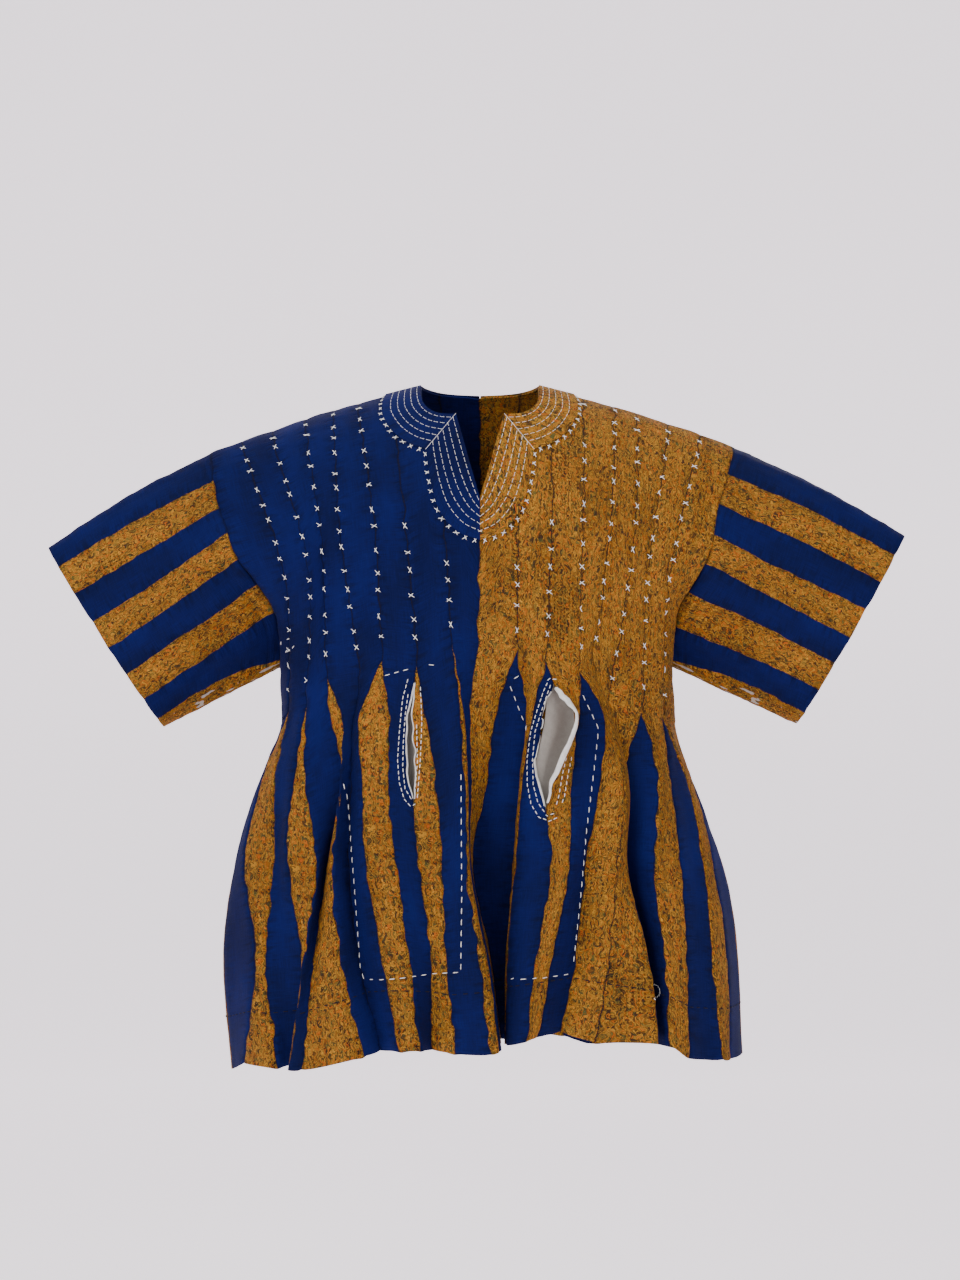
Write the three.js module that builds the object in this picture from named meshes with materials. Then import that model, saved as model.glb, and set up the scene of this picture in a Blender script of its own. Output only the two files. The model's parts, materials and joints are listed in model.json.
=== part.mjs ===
// Fugu smock: strip-woven cotton, one half blue and one half gold, worn on a general figure.
// Millimetres, +X the viewer's right, +Y the back, +Z up, origin between the shoulders at the neck.
// Every piece is a wall of cloth round one shared middle surface, which is a net of lines and rows.
// A line runs down the garment along a seam or between two seams; a row runs round it.
import * as THREE from "three";

// Driving sizes.
const CLOTH = 1.5; // thickness of the strip cloth
const BAND_CLOTH = 1.4; // thickness of the neck band
const BAG_CLOTH = 1.2; // thickness of the pocket cotton
const SEAM_GAP = 0.3; // clearance between two pieces that are sewn together
const NECK_HALF = 64; // half the width of the neck hole along the shoulders
const NECK_BACK_Z = 8; // height of the neck hole's edge at the middle of the back
const NECK_CORNER = 25; // reach of the corner where the V meets the round of the neck
const NECK_CORNER_Z = -22; // height of that corner
const NECK_FOOT_Z = -112; // height of the foot of the V
const NECK_TURN = 60; // reach of the net line in the tightest turn of the neck
const SHOULDER_TOP = 14; // height of the shoulder line at the neck hole
const SHOULDER_FALL = 0.31; // how far the shoulder line drops for each millimetre out
const SHOULDER_CROWN = 4; // how far the shoulder line bows above a straight one
const SHOULDER_END = 293; // where the dropped shoulder ends
const CHEST_DEPTH = 120; // depth of the yoke, front or back, over the chest
const CHEST_DROP = 170; // how far below the shoulder line that depth is reached
const EDGE_LOSS = 55; // how much less deep the yoke is at the end of the shoulder
const OVAL_POWER = 2.2; // 2 makes the body's section an ellipse, more makes it squarer
const YOKE_ROWS = [0, 0.01, 0.04, 0.09, 0.17, 0.28, 0.41, 0.54, 0.67, 0.8, 1]; // 0 shoulder, 1 tip
const UNDERARM_ROW = 9; // the yoke row where the armhole closes
const SKIRT_ROWS = [1.05, 1.13, 1.26, 1.4, 1.55, 1.7, 1.85, 2]; // 1 gore tip, 2 hem
const SLEEVE_STEPS = [0, 0.12, 0.3, 0.5, 0.7, 0.86, 1]; // 0 armhole, 1 cuff

const BLUE = { color: 0x081e64, roughness: 0.85, metalness: 0 };
const GOLD = { color: 0xaa7323, roughness: 0.88, metalness: 0 };
const WHITE = { color: 0xd8d6d2, roughness: 0.9, metalness: 0 };

// Turns rows of bare values into records with the columns' names.
function table(columns, rows) {
  const names = columns.split(" ");
  return rows.map((row) => Object.fromEntries(names.map((name, i) => [name, row[i]])));
}

// Body sections: reach to each side and to the front and back, and where the side seams lie (y).
const SECTIONS = table("z left right front back leftFore leftAft rightFore rightAft", [
  [-265, 216, 216, 118, 118, 0, 0, 0, 0],
  [-350, 216, 213, 117, 118, 0, 0, 0, 0],
  [-410, 238, 230, 124, 126, 10, 26, -14, 4],
  [-500, 267, 263, 140, 142, -8, 28, -46, -6],
  [-600, 282, 280, 154, 156, -26, 24, -56, -8],
  [-731, 271, 288, 166, 168, -20, 38, -66, -6],
]);

// The armhole and side seam, from the end of the shoulder to the side gore: reach at each fifth.
const SIDE_LEFT = [293, 282, 258, 222, 218, 216];
const SIDE_RIGHT = [275, 257, 243, 214, 210, 213];
const SIDE_TOP_Z = -58;
const SIDE_TIP_Z = -350;
const SIDE_HEM_Z = { left: -729, right: -712 };

// Seams of the two front yokes, outer to inner: reach at the shoulder, bust and gore tip.
const FRONT_SEAMS = {
  left: table("seam top bust tip tipZ", [
    ["a", 260, 209, 207, -338],
    ["b", 227, 183, 187, -331],
    ["c", 190, 168, 164, -303],
    ["d", 159, 148, 127, -296],
    ["e", 132, 112, 104, -282],
    ["f", 95, 79, 66, -289],
    ["g", 45, 38, 29, -265],
  ]),
  right: table("seam top bust tip tipZ", [
    ["a", 240, 203, 198, -345],
    ["b", 205, 180, 174, -339],
    ["c", 170, 162, 136, -327],
    ["d", 146, 138, 120, -284],
    ["e", 112, 109, 106, -298],
    ["f", 78, 76, 70, -285],
    ["g", 45, 40, 39, -272],
  ]),
};

// Edges of the front strips below the tips: x at four heights and the hem, and the fold's rise
// out of the section (minus is a valley) halfway down and at the hem.
const HEIGHTS = { near: -340, high: -410, middle: -500, low: -600 };
const FRONT_EDGES = {
  left: table("edge near high middle low hem hemZ outMiddle outHem", [
    ["a.outer", -214, -236.5, -254, -239, -253, -715, 0, 0],
    ["a.inner", -206, -221, -221, -228, -215, -716, -8, -4],
    ["b.outer", -188, -200, -205, -189, -194, -712, 3, -28],
    ["b.inner", -183, -187, -173, -187, -204, -717, 1, 1],
    ["c.outer", -160, -146, -163, -176, -186, -716, -24, 0],
    ["c.inner", -149, -150, -157, -145, -121, -697, 4, 7],
    ["d", -133, -137, -139, -127, -104, -693, -22, -16],
    ["e.outer", -129, -127, -120, -102, -85, -690, 6, 6],
    ["e.inner", -97, -97, -88, -73, -62, -690, 8, 5],
    ["f.outer", -73, -72, -64, -52, -51, -692, 5, -22],
    ["f.inner", -58, -46, -40, -35, -26, -694, 8, -3],
    ["g.outer", -21, -15, -12.5, 0.5, 11, -693, 16, 18],
    ["g.inner", -17, -12.5, -10, 9.6, 22, -690, 1, 8],
  ]),
  right: table("edge near high middle low hem hemZ outMiddle outHem", [
    ["a.outer", 204, 222, 240, 248, 260, -712, -3, 2],
    ["a.inner", 196, 204, 215, 221, 221, -706, 3, -2],
    ["b.outer", 178, 191, 184, 195, 201, -690, 8, 2],
    ["b.inner", 168, 152, 151, 172, 181, -690, -42, -38],
    ["c.outer", 143, 148, 146, 168, 176, -686, -38, -30],
    ["c.inner", 140, 159, 156, 180, 190, -686, -8, 6],
    ["d", 135, 154, 145, 134, 120, -681, 10, 14],
    ["e.outer", 133, 127, 111, 100, 85, -673, -10, -12],
    ["e.inner", 105, 96, 93, 74, 59, -675, 9, 3],
    ["f.outer", 84, 68, 75, 57, 48, -679, 8, 12],
    ["f.inner", 55, 44, 36, 28, 24, -686, -12, -16],
    ["g.outer", 51, 45, 37, 29.5, 34, -684, -44, -54],
    ["g.inner", 17, 7, -9.5, 9, 19, -686, -48, -56],
  ]),
};
const CENTRE_FRONT = table("edge near high middle low hem hemZ outMiddle outHem", [
  ["centre", -12, -10.5, -8.5, 10, 21.5, -688, -18, -24],
])[0];
const CENTRE_TIP = { top: 0, bust: -1, tip: -2, tipZ: -262 };

// The seam down the middle of the back, which is straight and lies in a shallow valley.
const CENTRE_BACK_TIP = { top: 0, bust: 0, tip: 0, tipZ: -266 };
const CENTRE_BACK = table("edge near high middle low hem hemZ outMiddle outHem", [
  ["centre", 0, 0, 0, 0, 0, -716, -8, -12],
])[0];

// How far the middle of a piece bellies out between its edges, at the hem.
const BELLIES = {
  "front left 7": -5,
  "front left 5": 4,
  "front right 4": 6,
  "front right 3": 6,
  gore_front_left_a: 4,
  gore_front_left_b: -5,
  gore_front_left_c: 5,
  gore_front_left_e: 3,
  gore_front_right_a: -6,
  gore_front_right_f: 14,
};

// Pocket slits in the seams f: how the two edges part and how far the inner lip stands out.
const SLITS = {
  left: { topZ: -300, bottomZ: -436, widestZ: -398, part: 9, lip: 2 },
  right: { topZ: -309, bottomZ: -440, widestZ: -345, part: 38, lip: 20 },
};

// The back: gathers in even pleats whose depth changes a little from seam to seam.
const BACK_REACH = { left: { bust: 221, tip: 213 }, right: { bust: 206, tip: 208 } };
const BACK_TIP_Z = table("seam left right", [
  ["a", -342, -340],
  ["b", -326, -334],
  ["c", -316, -308],
  ["d", -298, -306],
  ["e", -290, -284],
  ["f", -276, -282],
  ["g", -272, -268],
]);
const BACK_FOLDS = table("seam leftOuter leftInner rightOuter rightInner", [
  ["a", -9, 12, -7, 10],
  ["b", -14, 13, -16, 12],
  ["c", -11, 15, -13, 16],
  ["d", -15, -15, 9, 9],
  ["e", 12, -17, -12, 15],
  ["f", 14, -12, -15, 12],
  ["g", 13, -16, -12, 14],
]);
const BACK_HEM_Z = -716;
const BACK_HEM_WAVE = 7;

// Cuffs: x and z of the top and the bottom, and half the depth from front to back.
const CUFFS = {
  left: { top: [-471, -160], bottom: [-345, -356], depth: 48 },
  right: { top: [463, -147], bottom: [345, -353], depth: 48 },
};
const SLEEVE_CROWN = 6; // how far the sleeve's top line bows up
const SLEEVE_SAG = 9; // how far the sleeve's front and back fall in between the ends

// The neck band in rows from the middle of the back to the foot of the V. Its inner edge follows
// the neck hole; the rows give its reach from the middle, and the outer edge's reach and height.
const BAND_BACK = table("innerX outerX outerZ", [
  [0, 0, -26],
  [22, 36, -25],
  [43, 68, -20],
  [56, 89, -11],
  [61, 97, 0],
  [63.4, 100.5, 3],
]);
const BAND_FRONT = table("innerX outerX outerZ", [
  [63.98, 101.3, 3.9],
  [63.9, 102, 2.5],
  [63.3, 103.5, -2],
  [62, 105, -9],
  [59, 104, -22],
  [50, 93, -40],
  [40, 76, -53],
  [25.6, 57, -60],
  [20.5, 54, -84],
  [14.5, 49, -108],
  [8.5, 40, -130],
  [3.5, 22, -148],
  [0, 0, -156],
]);
const BAND_GAP = 1.1; // clearance between the neck band and the panel under it
const BAND_SHOULDER_REACH = 101; // where its outer edge crosses the shoulder line
const BAND_COLUMNS = [0, 0.25, 0.5, 0.75, 1];
const BAND_FOOT_GAP = 0.6; // half the space between the two bands at the foot of the V

// Pocket bags: how far behind the front each is seated, and hangs away in its middle.
const BAG_SEAT = 2.4;
const BAG_HANG = 15;

const mix = THREE.MathUtils.lerp;
const smoothStep = THREE.MathUtils.smoothstep;

// A smooth curve through [height, value] pairs that run downwards.
function curveAt(pairs, z) {
  const last = pairs.length - 1;
  let i = 0;
  while (i < last - 1 && z < pairs[i + 1][0]) i += 1;
  const slope = (a, b) => (pairs[b][1] - pairs[a][1]) / (pairs[b][0] - pairs[a][0]);
  const step = pairs[i + 1][0] - pairs[i][0];
  const s = THREE.MathUtils.clamp((z - pairs[i][0]) / step, 0, 1);
  const enter = (i > 0 ? slope(i - 1, i + 1) : slope(i, i + 1)) * step;
  const leave = (i < last - 1 ? slope(i, i + 2) : slope(i, i + 1)) * step;
  const rest = 1 - s;
  const from = pairs[i][1] * (1 + 2 * s) * rest * rest + enter * s * rest * rest;
  return from + pairs[i + 1][1] * s * s * (3 - 2 * s) - leave * s * s * rest;
}

function section(column, z) {
  return curveAt(SECTIONS.map((row) => [row.z, row[column]]), Math.min(z, SECTIONS[0].z));
}

function ridgeHeight(x) {
  const out = Math.abs(x) - NECK_HALF;
  const bow = Math.sin((Math.PI * THREE.MathUtils.clamp(out, 0, 230)) / 230);
  return SHOULDER_TOP - SHOULDER_FALL * out + SHOULDER_CROWN * bow;
}

// Height of the neck hole's edge, or of the shoulder line beyond it.
function topHeight(face, x) {
  const reach = Math.abs(x);
  if (reach >= NECK_HALF) return ridgeHeight(x);
  if (face === "back") return mix(NECK_BACK_Z, SHOULDER_TOP, (reach / NECK_HALF) ** 4);
  if (reach <= NECK_CORNER) return mix(NECK_FOOT_Z, NECK_CORNER_Z, reach / NECK_CORNER);
  const turn = ((reach - NECK_CORNER) / (NECK_HALF - NECK_CORNER)) ** 3;
  return mix(SHOULDER_TOP, NECK_CORNER_Z, (1 - turn) ** 0.35);
}

// Rise of a quarter ellipse, for a yoke that leaves the shoulder line level and ends upright.
function shoulderRise(drop) {
  const left = 1 - THREE.MathUtils.clamp(drop / CHEST_DROP, 0, 1);
  return Math.sqrt(1 - left * left);
}

function ovalRise(u) {
  return Math.max(0, 1 - Math.min(1, Math.abs(u)) ** OVAL_POWER) ** (1 / OVAL_POWER);
}

// Depth of the yoke under a point of the front or back view. t runs 0 to 1, shoulder to gore tip.
function yokeDepth(face, x, z, t) {
  const side = x < 0 ? SIDE_LEFT : SIDE_RIGHT;
  const edge = sideReach(side, t);
  const chest = CHEST_DEPTH - EDGE_LOSS * Math.abs(x / SHOULDER_END) ** 3;
  const upper = chest * shoulderRise(ridgeHeight(x) - z);
  const lower = section(face, z) * ovalRise(x / edge);
  const depth = mix(upper, lower, smoothStep(t, 0.3, 0.8));
  return face === "front" ? -depth : depth;
}

function sideReach(side, t) {
  const pairs = side.map((reach, i) => [-i, reach]);
  return curveAt(pairs, -t * (side.length - 1));
}

// Depth of the skirt before its folds.
function skirtDepth(face, x, z) {
  const reach = section(x < 0 ? "left" : "right", z);
  const depth = section(face, z) * ovalRise(x / reach);
  return face === "front" ? -depth : depth;
}

// A line of the net: at(t) gives its point, t 0 at the top, 1 at the gore tip and 2 at the hem.
function seamLine(face, sign, seam, edge) {
  const yokeX = [
    [0, sign * seam.top],
    [-0.5, sign * seam.bust],
    [-1, sign * seam.tip],
  ];
  const topZ = topHeight(face, seam.top);
  const levels = Object.entries(HEIGHTS).filter(([, z]) => z < seam.tipZ - 14);
  const skirtX = [
    [seam.tipZ, sign * seam.tip],
    ...levels.map(([name, z]) => [z, edge[name]]),
    [edge.hemZ, edge.hem],
  ];
  const rise = [
    [seam.tipZ, 0],
    [HEIGHTS.middle, edge.outMiddle],
    [edge.hemZ, edge.outHem],
  ];
  return (t) => {
    if (t <= 1) {
      const x = curveAt(yokeX, -t);
      const z = mix(topZ, seam.tipZ, t);
      return new THREE.Vector3(x, yokeDepth(face, x, z, t), z);
    }
    const z = mix(seam.tipZ, edge.hemZ, t - 1);
    const x = curveAt(skirtX, z);
    const out = curveAt(rise, z) * (face === "front" ? -1 : 1);
    return new THREE.Vector3(x, skirtDepth(face, x, z) + out, z);
  };
}

// The side seam: down the armhole, then along one edge of the side gore.
function sideLine(face, half) {
  const sign = half === "left" ? -1 : 1;
  const side = half === "left" ? SIDE_LEFT : SIDE_RIGHT;
  const seamColumn = half + (face === "front" ? "Fore" : "Aft");
  return (t) => {
    if (t <= 1) {
      const x = sign * sideReach(side, t);
      const z = mix(SIDE_TOP_Z, SIDE_TIP_Z, t);
      const top = t === 0 ? ridgeHeight(x) : z;
      const y = t >= YOKE_ROWS[UNDERARM_ROW] || t === 0 ? 0 : yokeDepth(face, x, z, t);
      return new THREE.Vector3(x, y, top);
    }
    const z = mix(SIDE_TIP_Z, SIDE_HEM_Z[half], t - 1);
    const y = section(seamColumn, z);
    const reach = section(half, z);
    const depth = section(y < 0 ? "front" : "back", z);
    return new THREE.Vector3(sign * reach * ovalRise(y / depth), y, z);
  };
}

// A line between two others. It keeps to the yoke's own surface, and to a belly on the skirt.
function betweenLine(face, sign, outer, inner, share, topX, belly) {
  const topZ = topHeight(face, topX);
  const startZ = mix(outer(0).z, inner(0).z, share);
  const startX = mix(outer(0).x, inner(0).x, share);
  return (t) => {
    const point = outer(t).lerp(inner(t), share);
    if (t > 1) {
      const flat = outer(t).sub(inner(t)).length();
      const swell = Math.min(1, flat / 20) * (t - 1) * 4 * share * (1 - share);
      point.y += belly * swell * (face === "front" ? -1 : 1);
      return point;
    }
    const fade = 1 - t;
    point.x += (sign * topX - startX) * fade;
    point.z += (topZ - startZ) * fade;
    point.y = t === 0 && topX >= NECK_HALF ? 0 : yokeDepth(face, point.x, point.z, t);
    return point;
  };
}

// Where the aft side seam stands on the section, as an angle from the middle of the back.
function seamAngle(half, z) {
  const y = section(half + "Aft", z);
  const angle = Math.asin(ovalRise(y / section("back", z)));
  return y < 0 ? Math.PI - angle : angle;
}

// Edges of the back strips, spaced by their share of the cloth and folded in pleats.
function backEdges(half) {
  const sign = half === "left" ? -1 : 1;
  const rows = [];
  const hems = { near: 0.14, high: 0.35, middle: 0.62, low: 0.82, hem: 1 };
  BACK_FOLDS.forEach((folds, i) => {
    const outerSide = ["Outer", "Inner"];
    outerSide.forEach((name, inward) => {
      const row = { edge: folds.seam + "." + name.toLowerCase() };
      if (folds.seam === "d") row.edge = "d";
      Object.entries(hems).forEach(([level, share]) => {
        const z = level === "hem" ? BACK_HEM_Z : HEIGHTS[level];
        const strips = 7 - i;
        const gores = 6 - i + (i > 3 ? 1 : 0) - (folds.seam === "d" ? 0 : inward);
        const gore = share * 1.05;
        const arc = (strips + Math.max(0, gores) * gore) / (8 + 6 * gore);
        row[level] = sign * section(half, z) * Math.sin(arc * seamAngle(half, z));
      });
      row.outMiddle = folds[half + name] * 0.75;
      row.outHem = folds[half + name];
      row.hemZ = BACK_HEM_Z + BACK_HEM_WAVE * Math.sin(i * 2.3 + inward);
      rows.push(row);
    });
  });
  return rows;
}

function backReach(half, level, i) {
  return BACK_REACH[half][level] * Math.sin((((7 - i) / 8) * Math.PI) / 2);
}

function backSeams(half) {
  return FRONT_SEAMS[half].map((front, i) => ({
    seam: front.seam,
    top: front.top,
    bust: backReach(half, "bust", i),
    tip: backReach(half, "tip", i),
    tipZ: BACK_TIP_Z[i][half],
  }));
}

const ROWS = [...YOKE_ROWS, ...SKIRT_ROWS];
const TIP_ROW = YOKE_ROWS.length - 1;

// Widens a pocket slit: moves one edge of it by its share of the parting.
function slitEdge(line, slit, direction, lip) {
  return (t) => {
    const point = line(t);
    if (t <= 1 || point.z > slit.topZ || point.z < slit.bottomZ) return point;
    const above = (slit.topZ - point.z) / (slit.topZ - slit.widestZ);
    const below = (point.z - slit.bottomZ) / (slit.widestZ - slit.bottomZ);
    const open = Math.sin((Math.min(above, below, 1) * Math.PI) / 2);
    point.x += (direction * slit.part * open) / 2;
    point.y -= lip * open;
    return point;
  };
}

// One half of the front or back: its lines from the side seam to the middle, and its pieces.
function halfNet(face, half, seams, edges, centre) {
  const sign = half === "left" ? -1 : 1;
  const edge = (name) => edges.find((row) => row.edge === name);
  const lines = seams.map((seam) => {
    const outer = edge(seam.seam + ".outer") ?? edge(seam.seam);
    const inner = edge(seam.seam + ".inner") ?? edge(seam.seam);
    return {
      seam: seam.seam,
      top: seam.top,
      outer: seamLine(face, sign, seam, outer),
      inner: seamLine(face, sign, seam, inner),
      split: outer !== inner,
    };
  });
  const side = sideLine(face, half);
  const slit = SLITS[half];
  const pieces = [];
  for (let strip = 8; strip >= 1; strip -= 1) {
    const left = lines[7 - strip];
    const right = lines[8 - strip];
    let outer = left ? left.inner : side;
    let inner = right ? right.outer : centre;
    if (face === "front" && half === "left" && strip === 3) {
      inner = slitEdge(inner, slit, -1, slit.lip);
    }
    if (face === "front" && half === "right" && strip === 3) {
      inner = slitEdge(inner, slit, 1, slit.lip);
    }
    const name = [face, half, strip].join(" ");
    const from = left ? left.top : SHOULDER_END;
    const to = right ? right.top : 0;
    const outerTop = left ? left.top : Math.abs(side(0).x);
    let shares = [0, 0.5, 1];
    // The strips at the neck have a line where the neck hole ends, and one in each of its turns.
    if (strip === 2) {
      shares = [0, (from - NECK_HALF) / (from - to), (from - NECK_TURN) / (from - to), 1];
    }
    if (strip === 1) shares = [0, (from - NECK_CORNER) / from, 0.75, 1];
    const columns = shares.map((share) => {
      if (share === 0) return outer;
      if (share === 1) return inner;
      const topX = mix(outerTop, to, share);
      return betweenLine(face, sign, outer, inner, share, topX, BELLIES[name] ?? 0);
    });
    pieces.push({ name, columns, firstRow: 0 });
    if (right?.split) {
      const gore = ["gore", face, half, right.seam].join("_");
      const goreOuter = right.outer;
      const goreInner = right.inner;
      let slitSide = goreOuter;
      if (face === "front" && right.seam === "f") {
        slitSide = slitEdge(goreOuter, slit, half === "left" ? 1 : -1, 0);
      }
      const middle = betweenLine(face, sign, slitSide, goreInner, 0.5, 0, BELLIES[gore] ?? 0);
      const goreColumns = [slitSide, middle, goreInner];
      pieces.push({ name: gore, columns: goreColumns, firstRow: TIP_ROW + 1, unslit: goreOuter });
    }
  }
  return pieces;
}

// The quads of a piece: columns run from the wearer's outside inwards, so faces turn with the side.
function gridQuads(columns, rows, flip) {
  const points = columns.map((line) => rows.map((t) => line(t)));
  const quads = [];
  for (let i = 0; i + 1 < points.length; i += 1) {
    for (let j = 0; j + 1 < rows.length; j += 1) {
      const quad = [points[i][j], points[i][j + 1], points[i + 1][j + 1], points[i + 1][j]];
      quads.push(flip ? quad.reverse() : quad);
    }
  }
  return quads;
}

function keyOf(point) {
  return [point.x, point.y, point.z].map((value) => Math.round(value * 1e3)).join(",");
}

function triangleNormal(a, b, c) {
  return b.clone().sub(a).cross(c.clone().sub(a));
}

// Triangles of the middle surface, with a quad that has closed to a triangle at a tip.
function trianglesOf(quads) {
  const triangles = [];
  quads.forEach(([a, b, c, d]) => {
    if (keyOf(a) !== keyOf(b) && keyOf(b) !== keyOf(c) && keyOf(a) !== keyOf(c)) {
      triangles.push([a, b, c]);
    }
    if (keyOf(a) !== keyOf(c) && keyOf(c) !== keyOf(d) && keyOf(a) !== keyOf(d)) {
      triangles.push([a, c, d]);
    }
  });
  return triangles;
}

// Normals shared by all pieces that meet at a point, so that their walls meet there squarely.
function sharedNormals(pieces) {
  const sums = new Map();
  pieces.forEach((piece) => {
    piece.triangles.forEach((triangle) => {
      const unit = triangleNormal(...triangle).normalize();
      triangle.forEach((point, i) => {
        const toNext = triangle[(i + 1) % 3].clone().sub(point);
        const toLast = triangle[(i + 2) % 3].clone().sub(point);
        const key = keyOf(point);
        const sum = sums.get(key) ?? new THREE.Vector3();
        sums.set(key, sum.addScaledVector(unit, toNext.angleTo(toLast)));
      });
    });
  });
  const normals = new Map();
  sums.forEach((sum, key) => {
    normals.set(key, sum.normalize());
  });
  return normals;
}

// Makes a closed wall round a piece's middle surface. Its edges draw back by half a seam gap.
function wallGeometry(triangles, normals, thickness, lift) {
  const corners = new Map();
  const indexed = triangles.map((triangle) =>
    triangle.map((point) => {
      const key = keyOf(point);
      if (!corners.has(key)) corners.set(key, { id: corners.size, point, key, pulls: [] });
      return corners.get(key);
    }),
  );
  const edgeUse = new Map();
  indexed.forEach((triangle) => {
    triangle.forEach((corner, i) => {
      const next = triangle[(i + 1) % 3];
      edgeUse.set(corner.id + ">" + next.id, [corner, next]);
    });
  });
  const rims = [...edgeUse.values()].filter(([a, b]) => !edgeUse.has(b.id + ">" + a.id));
  rims.forEach(([a, b]) => {
    const along = b.point.clone().sub(a.point).normalize();
    [a, b].forEach((corner) => {
      const normal = normals.get(corner.key);
      corner.pulls.push(normal.clone().cross(along).normalize());
    });
  });
  const outside = [];
  const inside = [];
  corners.forEach((corner) => {
    const direction = normals.get(corner.key);
    const middle = corner.point.clone().addScaledVector(direction, lift);
    if (corner.pulls.length > 0) {
      const pull = corner.pulls.reduce((sum, one) => sum.add(one), new THREE.Vector3());
      const spread = Math.max(0.5, pull.length() / corner.pulls.length);
      middle.addScaledVector(pull.normalize(), SEAM_GAP / 2 / spread);
    }
    outside[corner.id] = middle.clone().addScaledVector(direction, thickness / 2);
    inside[corner.id] = middle.clone().addScaledVector(direction, -thickness / 2);
  });
  const positions = [];
  const add = (...points) => points.forEach((point) => positions.push(point.x, point.y, point.z));
  indexed.forEach(([a, b, c]) => {
    add(outside[a.id], outside[b.id], outside[c.id]);
    add(inside[a.id], inside[c.id], inside[b.id]);
  });
  rims.forEach(([a, b]) => {
    // The same diagonal as the neighbour's rim, so that two twisted rims still match.
    const last = a.key < b.key ? a : b;
    const first = a.key < b.key ? b : a;
    add(outside[b.id], outside[a.id], inside[last.id]);
    add(outside[first.id], inside[a.id], inside[b.id]);
  });
  const geometry = new THREE.BufferGeometry();
  geometry.setAttribute("position", new THREE.Float32BufferAttribute(positions, 3));
  geometry.computeVertexNormals();
  return geometry;
}

// The sleeve's net: its first ring is the armhole, its last the cuff.
function sleeveQuads(half) {
  const fore = sideLine("front", half);
  const aft = sideLine("back", half);
  const rows = YOKE_ROWS.slice(0, UNDERARM_ROW + 1);
  const armhole = [
    ...rows.map((t) => fore(t)),
    ...rows.slice(1, -1).reverse().map((t) => aft(t)),
  ];
  const cuff = CUFFS[half];
  const top = new THREE.Vector3(cuff.top[0], 0, cuff.top[1]);
  const bottom = new THREE.Vector3(cuff.bottom[0], 0, cuff.bottom[1]);
  const middle = top.clone().lerp(bottom, 0.5);
  const up = top.clone().sub(middle);
  const rings = SLEEVE_STEPS.map((v) =>
    armhole.map((start, j) => {
      const angle = (2 * Math.PI * j) / armhole.length;
      const round = Math.sign(Math.sin(angle)) * Math.abs(Math.sin(angle)) ** 0.8;
      const end = middle.clone().addScaledVector(up, Math.cos(angle));
      end.y = -cuff.depth * round;
      const point = start.clone().lerp(end, v);
      const between = Math.sin(Math.PI * v);
      point.z += SLEEVE_CROWN * between * Math.max(0, Math.cos(angle));
      point.y += SLEEVE_SAG * between * Math.sin(angle) * Math.cos(2 * angle + 0.6);
      return point;
    }),
  );
  const quads = [];
  for (let i = 0; i + 1 < rings.length; i += 1) {
    for (let j = 0; j < armhole.length; j += 1) {
      const k = (j + 1) % armhole.length;
      const quad = [rings[i][j], rings[i + 1][j], rings[i + 1][k], rings[i][k]];
      quads.push(half === "left" ? quad : quad.reverse());
    }
  }
  return quads;
}

// The height share t of a yoke point in the front or back view, for its depth.
function yokePoint(face, x, z) {
  const top = ridgeHeight(x);
  const t = THREE.MathUtils.clamp((top - z) / (top - SIDE_TIP_Z), 0, 1);
  return new THREE.Vector3(x, yokeDepth(face, x, z, t), z);
}

// The neck band's net, which runs from the back over the shoulder to the foot of the V.
function bandQuads(half) {
  const sign = half === "left" ? -1 : 1;
  const across = (face, row) =>
    BAND_COLUMNS.map((share) => {
      const reach = mix(row.innerX, row.outerX, share);
      const x = sign * Math.max(BAND_FOOT_GAP, reach);
      const innerZ = topHeight(face, row.innerX);
      const z = Math.min(mix(innerZ, row.outerZ, share), ridgeHeight(x));
      return yokePoint(face, x, z);
    });
  const shoulder = BAND_COLUMNS.map((share) => {
    const x = sign * mix(NECK_HALF, BAND_SHOULDER_REACH, share);
    return new THREE.Vector3(x, 0, ridgeHeight(x));
  });
  const rows = [
    ...BAND_BACK.map((row) => across("back", row)),
    shoulder,
    ...BAND_FRONT.map((row) => across("front", row)),
  ];
  const quads = [];
  for (let i = 0; i + 1 < rows.length; i += 1) {
    for (let j = 0; j + 1 < BAND_COLUMNS.length; j += 1) {
      const quad = [rows[i][j], rows[i + 1][j], rows[i + 1][j + 1], rows[i][j + 1]];
      quads.push(half === "left" ? quad.reverse() : quad);
    }
  }
  return quads;
}

// A pocket bag: the net behind a slit, moved in, joined along its edges and hanging free between.
function bagQuads(pieces, half) {
  const goreE = pieces.find((piece) => piece.name === "gore_front_" + half + "_e").columns;
  const goreF = pieces.find((piece) => piece.name === "gore_front_" + half + "_f");
  const between = (a, b) => (t) => a(t).lerp(b(t), 0.5);
  const columns = [
    ...goreE,
    between(goreE[2], goreF.unslit),
    goreF.unslit,
    between(goreF.unslit, goreF.columns[2]),
    ...(half === "left" ? [goreF.columns[2]] : []),
  ];
  const rows = SKIRT_ROWS.slice(0, 7);
  const net = columns.map((line, i) =>
    rows.map((t, j) => {
      const point = line(t);
      const acrossSwell = Math.sin((Math.PI * i) / (columns.length - 1));
      const downSwell = Math.sin((Math.PI * j) / (rows.length - 1));
      point.y += BAG_SEAT + BAG_HANG * acrossSwell * (0.25 + 0.75 * downSwell);
      return point;
    }),
  );
  const quads = [];
  for (let i = 0; i + 1 < net.length; i += 1) {
    for (let j = 0; j + 1 < rows.length; j += 1) {
      const quad = [net[i][j], net[i][j + 1], net[i + 1][j + 1], net[i + 1][j]];
      quads.push(half === "left" ? quad : quad.reverse());
    }
  }
  return quads;
}

function material(finish) {
  return new THREE.MeshStandardMaterial({ ...finish, side: THREE.DoubleSide });
}

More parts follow.
